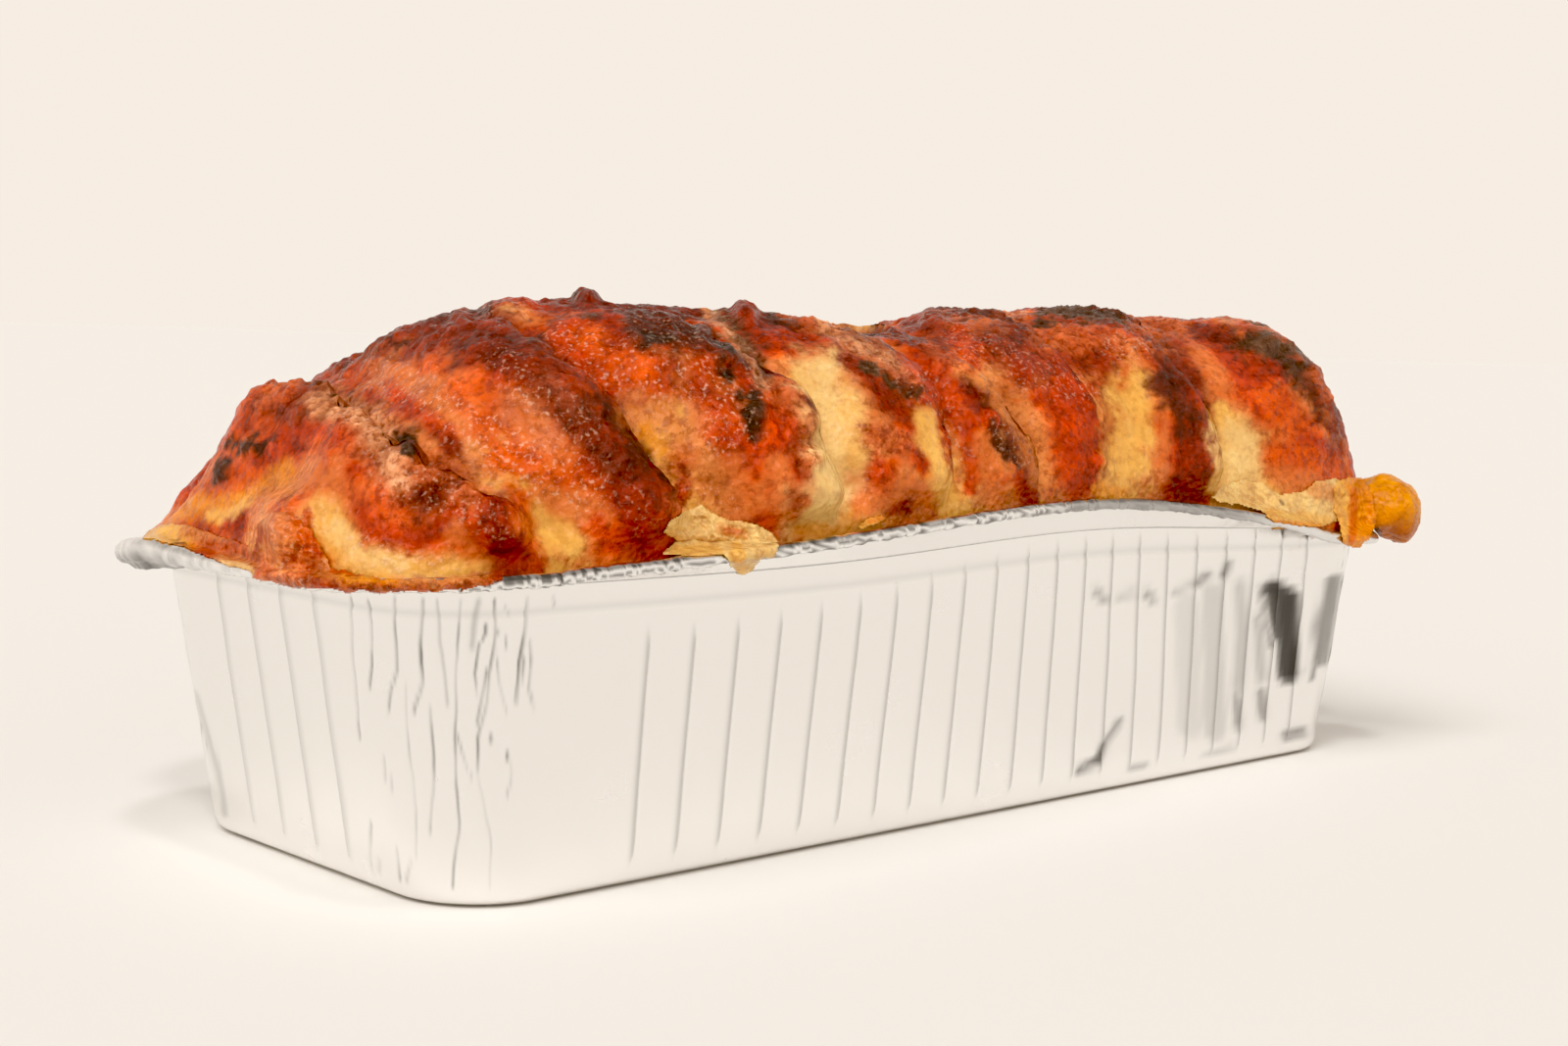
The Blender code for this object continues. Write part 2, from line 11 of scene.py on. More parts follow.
import bpy
import numpy as np
from mathutils import Matrix, Vector
from mathutils.bvhtree import BVHTree


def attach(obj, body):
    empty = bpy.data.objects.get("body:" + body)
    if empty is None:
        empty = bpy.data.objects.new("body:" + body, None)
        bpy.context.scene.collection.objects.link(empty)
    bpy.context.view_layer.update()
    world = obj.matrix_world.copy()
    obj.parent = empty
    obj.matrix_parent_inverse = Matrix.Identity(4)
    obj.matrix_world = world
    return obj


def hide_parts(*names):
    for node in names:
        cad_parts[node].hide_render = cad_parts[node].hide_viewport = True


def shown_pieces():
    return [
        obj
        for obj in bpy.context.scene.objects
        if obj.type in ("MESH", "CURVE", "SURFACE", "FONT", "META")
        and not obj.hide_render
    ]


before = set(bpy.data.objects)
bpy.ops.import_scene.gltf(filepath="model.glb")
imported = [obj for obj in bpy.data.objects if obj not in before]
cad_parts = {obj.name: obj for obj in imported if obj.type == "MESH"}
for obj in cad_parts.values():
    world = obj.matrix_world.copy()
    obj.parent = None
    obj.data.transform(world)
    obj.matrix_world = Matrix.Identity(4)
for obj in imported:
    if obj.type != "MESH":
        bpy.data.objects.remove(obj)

for name in ("Cube", "Light", "Camera"):
    if name in bpy.data.objects:
        bpy.data.objects.remove(bpy.data.objects[name])
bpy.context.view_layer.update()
MM = 0.001

# %% [markdown]
# ## The camera
# The camera was fitted to the tray: the four corners of its base, its wall top and its evenly pressed ribs
# fix the place, the turn and the lens. It stands low, off the tray's left front corner, and so the left
# end of the loaf looks about half as large again as its right end.

# %% Place the camera
CAMERA_PLACE = np.array((-393.8, -400.4, 116.15))
YAW, PITCH, ROLL = (math.radians(turn) for turn in (43.123, -5.044, 1.571))
PICTURE_WIDTH, PICTURE_HEIGHT = 1600, 1067
FOCAL = 2222.0
SENSOR = 36.0


def camera_axes():
    """Unit vectors of the camera: to its right, up and forwards."""
    ahead = np.array((math.cos(PITCH) * math.sin(YAW), math.cos(PITCH) * math.cos(YAW), math.sin(PITCH)))
    right = np.array((math.cos(YAW), -math.sin(YAW), 0.0))
    up = np.cross(right, ahead)
    return (right * math.cos(ROLL) + up * math.sin(ROLL), up * math.cos(ROLL) - right * math.sin(ROLL), ahead)


RIGHT, UP, AHEAD = camera_axes()


def to_picture(points):
    """Where points in mm fall in the picture, in pixels across and down."""
    away = points - CAMERA_PLACE
    depth = away @ AHEAD
    across = PICTURE_WIDTH / 2 + FOCAL * (away @ RIGHT) / depth
    down = PICTURE_HEIGHT / 2 - FOCAL * (away @ UP) / depth
    return across, down, depth


def picture_ray(across, down):
    """Unit direction from the camera through a place in the picture."""
    ray = AHEAD + RIGHT * (across - PICTURE_WIDTH / 2) / FOCAL - UP * (down - PICTURE_HEIGHT / 2) / FOCAL
    return ray / np.linalg.norm(ray)


camera = bpy.data.objects.new("camera", bpy.data.cameras.new("camera"))
bpy.context.scene.collection.objects.link(camera)
camera.data.sensor_width = SENSOR
camera.data.lens = FOCAL * SENSOR / PICTURE_WIDTH
camera.data.clip_start, camera.data.clip_end = 0.01, 20.0
turned = Matrix([list(row) for row in np.stack([RIGHT, UP, -AHEAD], axis=1)]).to_4x4()
camera.matrix_world = Matrix.Translation(Vector(CAMERA_PLACE * MM)) @ turned
bpy.context.scene.camera = camera

# %% [markdown]
# ## Noise
# Nothing on a baked crust is even. Gradient noise gives soft hills of one size, and summed at halving
# sizes it gives the mix of large and small bumps that crusts have. Cell noise, the distance to the nearest
# of many scattered points, gives round blisters and pits.

# %% Noise tools
LATTICE = 256
dice = np.random.default_rng(11)
SHUFFLE = dice.permutation(LATTICE)
SLOPES = dice.normal(size=(LATTICE, 3))
SLOPES /= np.linalg.norm(SLOPES, axis=1, keepdims=True)
JITTER = dice.random((LATTICE, 3))


def lattice_index(cell):
    """A fixed random number for each lattice cell."""
    cell = cell % LATTICE
    return SHUFFLE[(SHUFFLE[(SHUFFLE[cell[:, 0]] + cell[:, 1]) % LATTICE] + cell[:, 2]) % LATTICE]


def hills(points, size, seed=0):
    """Gradient noise of about -1 to 1 at points in mm, with hills of about the given size."""
    scaled = points / size + 19.37 * (seed + 1)
    cell = np.floor(scaled).astype(int)
    inside = scaled - cell
    fade = inside ** 3 * (inside * (inside * 6.0 - 15.0) + 10.0)
    total = np.zeros(len(points))
    for corner in itertools.product((0, 1), repeat=3):
        weight = np.prod(np.where(corner, fade, 1.0 - fade), axis=1)
        slope = SLOPES[lattice_index(cell + corner)]
        total += weight * np.sum(slope * (inside - corner), axis=1)
    return 1.6 * total


def fractal(points, size, octaves=4, seed=0):
    """Hills of halving size and height, summed."""
    return sum(hills(points, size / 2 ** step, seed + 7 * step) / 2 ** step for step in range(octaves))


def blisters(points, size, seed=0):
    """Distance to the nearest scattered point, in cells: 0 on a point, about 1 between points."""
    scaled = points / size + 11.71 * (seed + 1)
    home = np.floor(scaled).astype(int)
    nearest = np.full(len(points), 9.0)
    for step in itertools.product((-1, 0, 1), repeat=3):
        cell = home + step
        there = cell + JITTER[lattice_index(cell)]
        nearest = np.minimum(nearest, np.linalg.norm(there - scaled, axis=1))
    return nearest


def smoothstep(low, high, value):
    """0 below low, 1 above high and a smooth ramp between."""
    share = np.clip((value - low) / (high - low), 0.0, 1.0)
    return share * share * (3.0 - 2.0 * share)


# %% [markdown]
# ## The tray's measurements
# The tray is a straight lofted box with rounded corners that has been handled: its front wall is pushed
# out on the left and in on the right, and its flange is tipped up in the middle of the front and bent down
# at the ends. The same few formulas, in millimetres, serve the foil and the crust that sits on it.

# %% Tray formulas
BASE_HALF, BASE_CORNER = (155.2, 54.6), 20.9
TOP_HALF, TOP_CORNER = (166.2, 58.6), 23.3
WALL_HEIGHT = 65.0
CAD_FOIL = 0.7
GAP = 0.5
SEAT = 0.3


def handled(x, y, z):
    """Push the straight tray, and all in it, into its handled shape."""
    rise = np.clip(z / WALL_HEIGHT, 0.0, 1.0)
    front = np.clip(-y / TOP_HALF[1], 0.0, 1.0)
    push = 3.5 * np.exp(-((x + 65.0) / 55.0) ** 2) - 3.5 * np.exp(-((x - 62.0) / 40.0) ** 2)
    return x, y - push * rise * front, z


def front_share(y):
    """1 along the front of the rim, 0 along its ends and back."""
    return smoothstep(28.0, 56.0, -y)


def flange_width(y):
    """Width of the flange, less where its front is creased."""
    return 9.0 - 2.2 * front_share(y)


def wall_top(x, y):
    """Height of the wall, which is drawn up in the middle of the front."""
    return WALL_HEIGHT + 3.5 * np.exp(-((x - 28.0) / 70.0) ** 2) * front_share(y)


def flange_angle(x, y):
    """How far the flange is tipped above the horizontal at a place on the rim, in radians."""
    reach = np.where(x < 28.0, 162.0, 77.0)
    front_angle = 86.0 * np.exp(-((x - 28.0) / reach) ** 2) - 28.0 * smoothstep(95.0, 140.0, x)
    back_angle = 16.0 * (0.6 + 0.4 * np.sin(x / 35.0)) - 30.0 * (1.0 - smoothstep(-160.0, -120.0, x))
    front, back = front_share(y), front_share(-y)
    return np.radians(8.0 * (1.0 - front - back) + front_angle * front + back_angle * back)


def level_sizes(z):
    """Half length, half width and corner radius of the tray's outside at height z."""
    share = np.clip(z / WALL_HEIGHT, 0.0, 1.0)
    half = [low + (high - low) * share for low, high in zip(BASE_HALF, TOP_HALF)]
    return half[0], half[1], BASE_CORNER + (TOP_CORNER - BASE_CORNER) * share


# %% [markdown]
# ## Meshes
# Every piece here is a sheet of points. These helpers turn rows of points into a mesh, hand it its colours
# as attributes of its points, and smooth its shading. A piece rides on the CAD frame, and the CAD solid
# that it replaces is hidden.

# %% Mesh tools
def make_mesh(name, points, faces, node=None, attributes=(), normals=None):
    """A smooth mesh object from points in mm, riding on the CAD frame; attributes are (name, rgb rows)."""
    mesh = bpy.data.meshes.new(name)
    mesh.from_pydata((points * MM).tolist(), [], faces)
    for title, values in attributes:
        layer = mesh.color_attributes.new(title, "FLOAT_COLOR", "POINT")
        filled = np.ones((len(points), 4), dtype=np.float32)
        filled[:, :3] = values
        layer.data.foreach_set("color", filled.ravel())
    mesh.shade_smooth()
    if normals is not None:
        mesh.normals_split_custom_set_from_vertices(normals.tolist())
    obj = bpy.data.objects.new(name, mesh)
    bpy.context.scene.collection.objects.link(obj)
    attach(obj, "root")
    if node:
        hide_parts(node)
    triangles = sum(len(face) - 2 for face in faces)
    print(f"{name}: {len(points)} points, {triangles} triangles")
    return obj


def sheet_faces(columns, rows, start=0):
    """Quads of a grid of points held column by column."""
    i, j = np.meshgrid(np.arange(columns - 1), np.arange(rows - 1), indexing="ij")
    first = start + i * rows + j
    return np.stack([first, first + rows, first + rows + 1, first + 1], axis=2).reshape(-1, 4).tolist()


def band_faces(lower, upper, closed=True):
    """Quads between two rings, or two open lines, of point numbers."""
    quads = [(a, b, d, c) for a, b, c, d in zip(lower, np.roll(lower, -1), upper, np.roll(upper, -1))]
    return quads if closed else quads[:-1]


def grid_normals(points):
    """Unit normals of a grid of points, facing up and out."""
    normals = np.cross(np.gradient(points, axis=0), np.gradient(points, axis=1))
    return normals / np.maximum(np.linalg.norm(normals, axis=2, keepdims=True), 1e-12)


# %% [markdown]
# ## The loaf's plain shape
# The loaf is a long dome whose top is laid in overlapping folds, like slices that slid against each other
# as they baked. Each fold starts low, tucked under the one before it, climbs, and rolls over to a steep
# right edge. The lines of those edges are the same as in the CAD model. The grid's columns follow them,
# and crowd together near each edge, where the shape turns fastest.

# %% Fold lines
EDGE_ROWS = (-0.95, -0.80, -0.60, -0.45, -0.30, 0.0, 0.35, 0.65, 0.95)
# Each fold: its right edge's x at those rows, then height, depth below it, and the share it recovers over.
FOLDS = (
    ((-138, -143, -152, -155, -155, -149, -147, -145, -134), (3.5, 2.5, 2.5), (4.0, 5.0, 6.5), (0.20, 0.80)),
    ((-105, -108, -115, -119, -119, -118, -121, -121, -116), (5.0, 2.0, 1.0), (5.5, 1.2, 4.0), (0.0, 0.55)),
    ((-60, -61, -66, -73, -76, -88, -96, -100, -99), (4.5, 1.5, 3.5), (5.5, 3.0, 4.5), (0.0, 0.55)),
    ((-24, -21, -17, -19, -28, -52, -62, -68, -66), (3.5, 2.0, 3.5), (4.0, 1.0, 4.0), (0.0, 0.55)),
    ((12, 11, 6, -3, -6, 10, 18, 24, 26), (4.0, -4.5, -3.0), (4.5, -1.0, 1.0), (0.0, 0.55)),
    ((44, 44, 43, 42, 42, 54, 58, 62, 62), (0.5, 1.0, 3.0), (0.5, 0.8, 3.5), (0.0, 0.55)),
    ((84, 87, 86, 83, 90, 111, 108, 104, 102), (5.0, 2.0, 3.5), (5.5, 1.2, 4.5), (0.0, 0.55)),
)
# Single lumps: x, row, height, radius.
LUMPS = (
    (-112, 0.02, 1.2, 9), (-83, -0.03, 3.0, 8), (-57, -0.10, -2.0, 6), (-64, -0.62, 3.0, 8),
    (-145, -0.76, 3.5, 9), (-146, -0.30, 2.5, 10), (135, -0.30, 2.0, 12),
    (-163, 0.50, -5.5, 13), (-148, 0.26, 3.0, 9), (-126, 0.30, -4.0, 10),
    (12, -0.16, -3.5, 8), (18, 0.03, -5.0, 9), (30, 0.20, -4.0, 10),
    (62, 0.55, 2.5, 12), (-30, 0.60, 2.5, 10), (140, 0.50, 2.0, 12), (-167, -0.24, 4.5, 8),
)
# The front, which the picture shows, is one finer sheet and the back a coarser one; they meet at this row.
MEETING_ROW = 0.10


def by_row(values, row):
    """A value given at the front, crest and back, at one row of the loaf."""
    front, crest, back = values
    return np.where(row < 0.0, crest + (front - crest) * smoothstep(0.05, 0.60, -row),
                    crest + (back - crest) * smoothstep(0.10, 0.70, row))


def lip_reach(x, y):
    """How far the loaf stands out over the rim: over a flat flange, but inside one that is tipped up."""
    flat = 1.0 - smoothstep(math.radians(12), math.radians(30), flange_angle(x, y))
    uneven = 0.80 + 0.20 * np.sin(x / 11.0 + 1.3) * np.sin(y / 9.0 + 0.4)
    lip = 8.8 - 4.8 * smoothstep(-125.0, -95.0, x + 0.5 * (y + TOP_HALF[1]))
    return -(CAD_FOIL + 2.0 * GAP) + (lip * uneven + CAD_FOIL) * flat


def lip_underside(x, y):
    """Height of the loaf's underside where it lies on the flange."""
    angle = np.minimum(flange_angle(x, y), math.radians(30))
    return WALL_HEIGHT + SEAT + np.maximum(lip_reach(x, y), 0.0) * np.tan(angle)


def dome_height(x, y, rows, reach):
    """Height of the plain dome, before its folds."""
    top = 119.5 + 3.5 * smoothstep(10.0, 60.0, x)
    left = np.sqrt(1.0 - (1.0 - np.clip((x + reach) / 75.0, 0.0, 1.0)) ** 2)
    right = (1.0 - (1.0 - np.clip((reach - x) / 27.0, 0.0, 1.0)) ** 2.2) ** (1.0 / 2.2)
    base = lip_underside(x, y) + 1.2
    power = 2.3 + 0.7 * smoothstep(80.0, 150.0, x)
    arch = np.maximum(1.0 - np.abs(np.sin(rows * math.pi / 2.0)) ** power, 0.0) ** (1.0 / power)
    return base + (top - base) * arch * left * right


# %% [markdown]
# The columns and rows below make the plain grid. Its relief then comes in layers along the surface's own
# normal: first the folds and lumps, then blistered crust, then fine grain. Each layer fades out at the
# rim, so that the crust stays clear of the foil.

# %% Fold edges along the rows
ROW_TABLE = np.linspace(-1.0, 1.0, 401)


def edge_line(number, rows):
    """X of a fold's right edge at some rows, a little ragged."""
    line = np.interp(ROW_TABLE, EDGE_ROWS, FOLDS[number][0])
    smooth = np.convolve(np.pad(line, 15, mode="edge"), np.ones(31) / 31.0, mode="valid")
    spots = np.outer(ROW_TABLE, (0.0, 90.0, 0.0)) + (40.0 * number, 0.0, 0.0)
    ragged = 1.8 * fractal(spots, 14.0, 4, seed=2)
    return np.interp(rows, ROW_TABLE, smooth + ragged * smoothstep(0.0, 0.12, 1.0 - np.abs(ROW_TABLE)))


def plan_reach(y):
    """How far the loaf's plan reaches along X at a distance y from its middle line."""
    past = np.clip(np.abs(y) - (TOP_HALF[1] - TOP_CORNER), 0.0, TOP_CORNER)
    return TOP_HALF[0] - TOP_CORNER + np.sqrt(np.maximum(TOP_CORNER ** 2 - past ** 2, 0.0))


# %% The plain grid of one sheet
def lay_out(rows, strip_columns):
    """X, fold relief, step within the fold and fold number over a sheet of the loaf's top."""
    reach = plan_reach(np.sin(rows * math.pi / 2.0) * TOP_HALF[1])
    even = np.linspace(0.0, 1.0, strip_columns)
    steps = even - 0.45 / (2.0 * math.pi) * np.sin(2.0 * math.pi * even)
    edges = [edge_line(number, rows) for number in range(len(FOLDS))]
    columns = []
    for strip in range(len(FOLDS) + 1):
        at_left, at_right = strip == 0, strip == len(FOLDS)
        start = -reach if at_left else edges[strip - 1] + 1.0
        stop = reach if at_right else edges[strip]
        for step in steps:
            spread = step
            if at_left:
                spread = 1.0 - math.cos(step * math.pi / 2.0)
            if at_right:
                spread = math.sin(step * math.pi / 2.0)
            relief = np.zeros_like(rows)
            if not at_left:
                _, _, depth, recover = FOLDS[strip - 1]
                relief -= by_row(depth, rows) * (1.0 - smoothstep(*recover, step))
            if not at_right:
                roll = smoothstep(0.05, 0.80, step) * (1.0 - 0.50 * smoothstep(0.82, 1.0, step) ** 2)
                relief += by_row(FOLDS[strip][1], rows) * roll
            columns.append((start + (stop - start) * spread, relief, np.full_like(rows, step),
                            np.full_like(rows, strip)))
    return [np.array(part) for part in zip(*columns)]


# %% Folds and lumps
def raise_folds(x, folds, rows):
    """Points of a sheet with its folds and lumps, and how clear of the rim each is, from 0 to 1."""
    y = np.broadcast_to(np.sin(rows * math.pi / 2.0) * TOP_HALF[1], x.shape)
    z = dome_height(x, y, np.broadcast_to(rows, x.shape), plan_reach(y))
    rim_top = wall_top(x, y) + (flange_width(y) + 1.2) * np.maximum(np.sin(flange_angle(x, y)), 0.0)
    clear = smoothstep(1.0, 9.0, z - rim_top)
    lumps = 0.5 * np.sin(x / 7.0 + 2.1 * rows) * np.sin(7.0 * rows + x / 19.0)
    for lump_x, lump_row, height, radius in LUMPS:
        apart = (x - lump_x) ** 2 + ((rows - lump_row) * 85.0) ** 2
        lumps = lumps + height * np.exp(-apart / radius ** 2)
    skin = np.stack([x, y, z], axis=2)
    return skin + grid_normals(skin) * ((folds + lumps) * clear)[..., None], clear


# %% [markdown]
# ## Painting by place
# The bake is what makes the loaf: pale cheese in the valleys, orange fat on the slopes, burgundy and black
# on the crowns. Every point starts with a colour from its place in its fold. Strokes then go over the
# front, each a named colour along a line given in pixels of the picture, and the camera carries each point
# of the crust to its pixel. The strokes' borders are broken up by noise, so none is a clean line.

# %% Colours of the bake
def linear(red, green, blue):
    """A colour given in 0 to 255 as linear light."""
    share = np.array((red, green, blue)) / 255.0
    return np.where(share <= 0.04045, share / 12.92, ((share + 0.055) / 1.055) ** 2.4)


# Each finish: colour, how crusty it is, and how wet.
BAKE = {
    "cream": (linear(238, 194, 122), 0.10, 0.6),
    "yellow": (linear(234, 172, 84), 0.12, 0.8),
    "gold": (linear(232, 140, 32), 0.20, 0.7),
    "tan": (linear(216, 126, 64), 0.45, 0.6),
    "salmon": (linear(218, 114, 56), 0.25, 0.8),
    "orange": (linear(212, 78, 10), 0.50, 0.8),
    "flame": (linear(194, 54, 4), 0.55, 0.9),
    "red": (linear(166, 40, 2), 0.60, 0.9),
    "burgundy": (linear(128, 28, 4), 0.75, 0.9),
    "dark": (linear(84, 18, 3), 0.80, 0.8),
    "purple": (linear(138, 54, 30), 0.80, 0.6),
    "meat": (linear(200, 92, 46), 1.00, 0.5),
    "pale meat": (linear(220, 142, 94), 0.95, 0.4),
    "scorch": (linear(86, 54, 34), 1.00, 0.3),
    "black": (linear(40, 22, 14), 0.80, 0.7),
}
# Browning from 0 to 1 runs through these.
RAMP = ((0.00, "yellow"), (0.18, "tan"), (0.34, "salmon"), (0.48, "orange"), (0.62, "flame"), (0.76, "red"),
        (0.90, "burgundy"), (1.00, "dark"))


def ramp(browning):
    """Colour, crust and wetness for each amount of browning."""
    stops = [place for place, _ in RAMP]
    table = np.array([(*BAKE[title][0], *BAKE[title][1:]) for _, title in RAMP])
    return np.stack([np.interp(browning, stops, table[:, part]) for part in range(5)], axis=1)


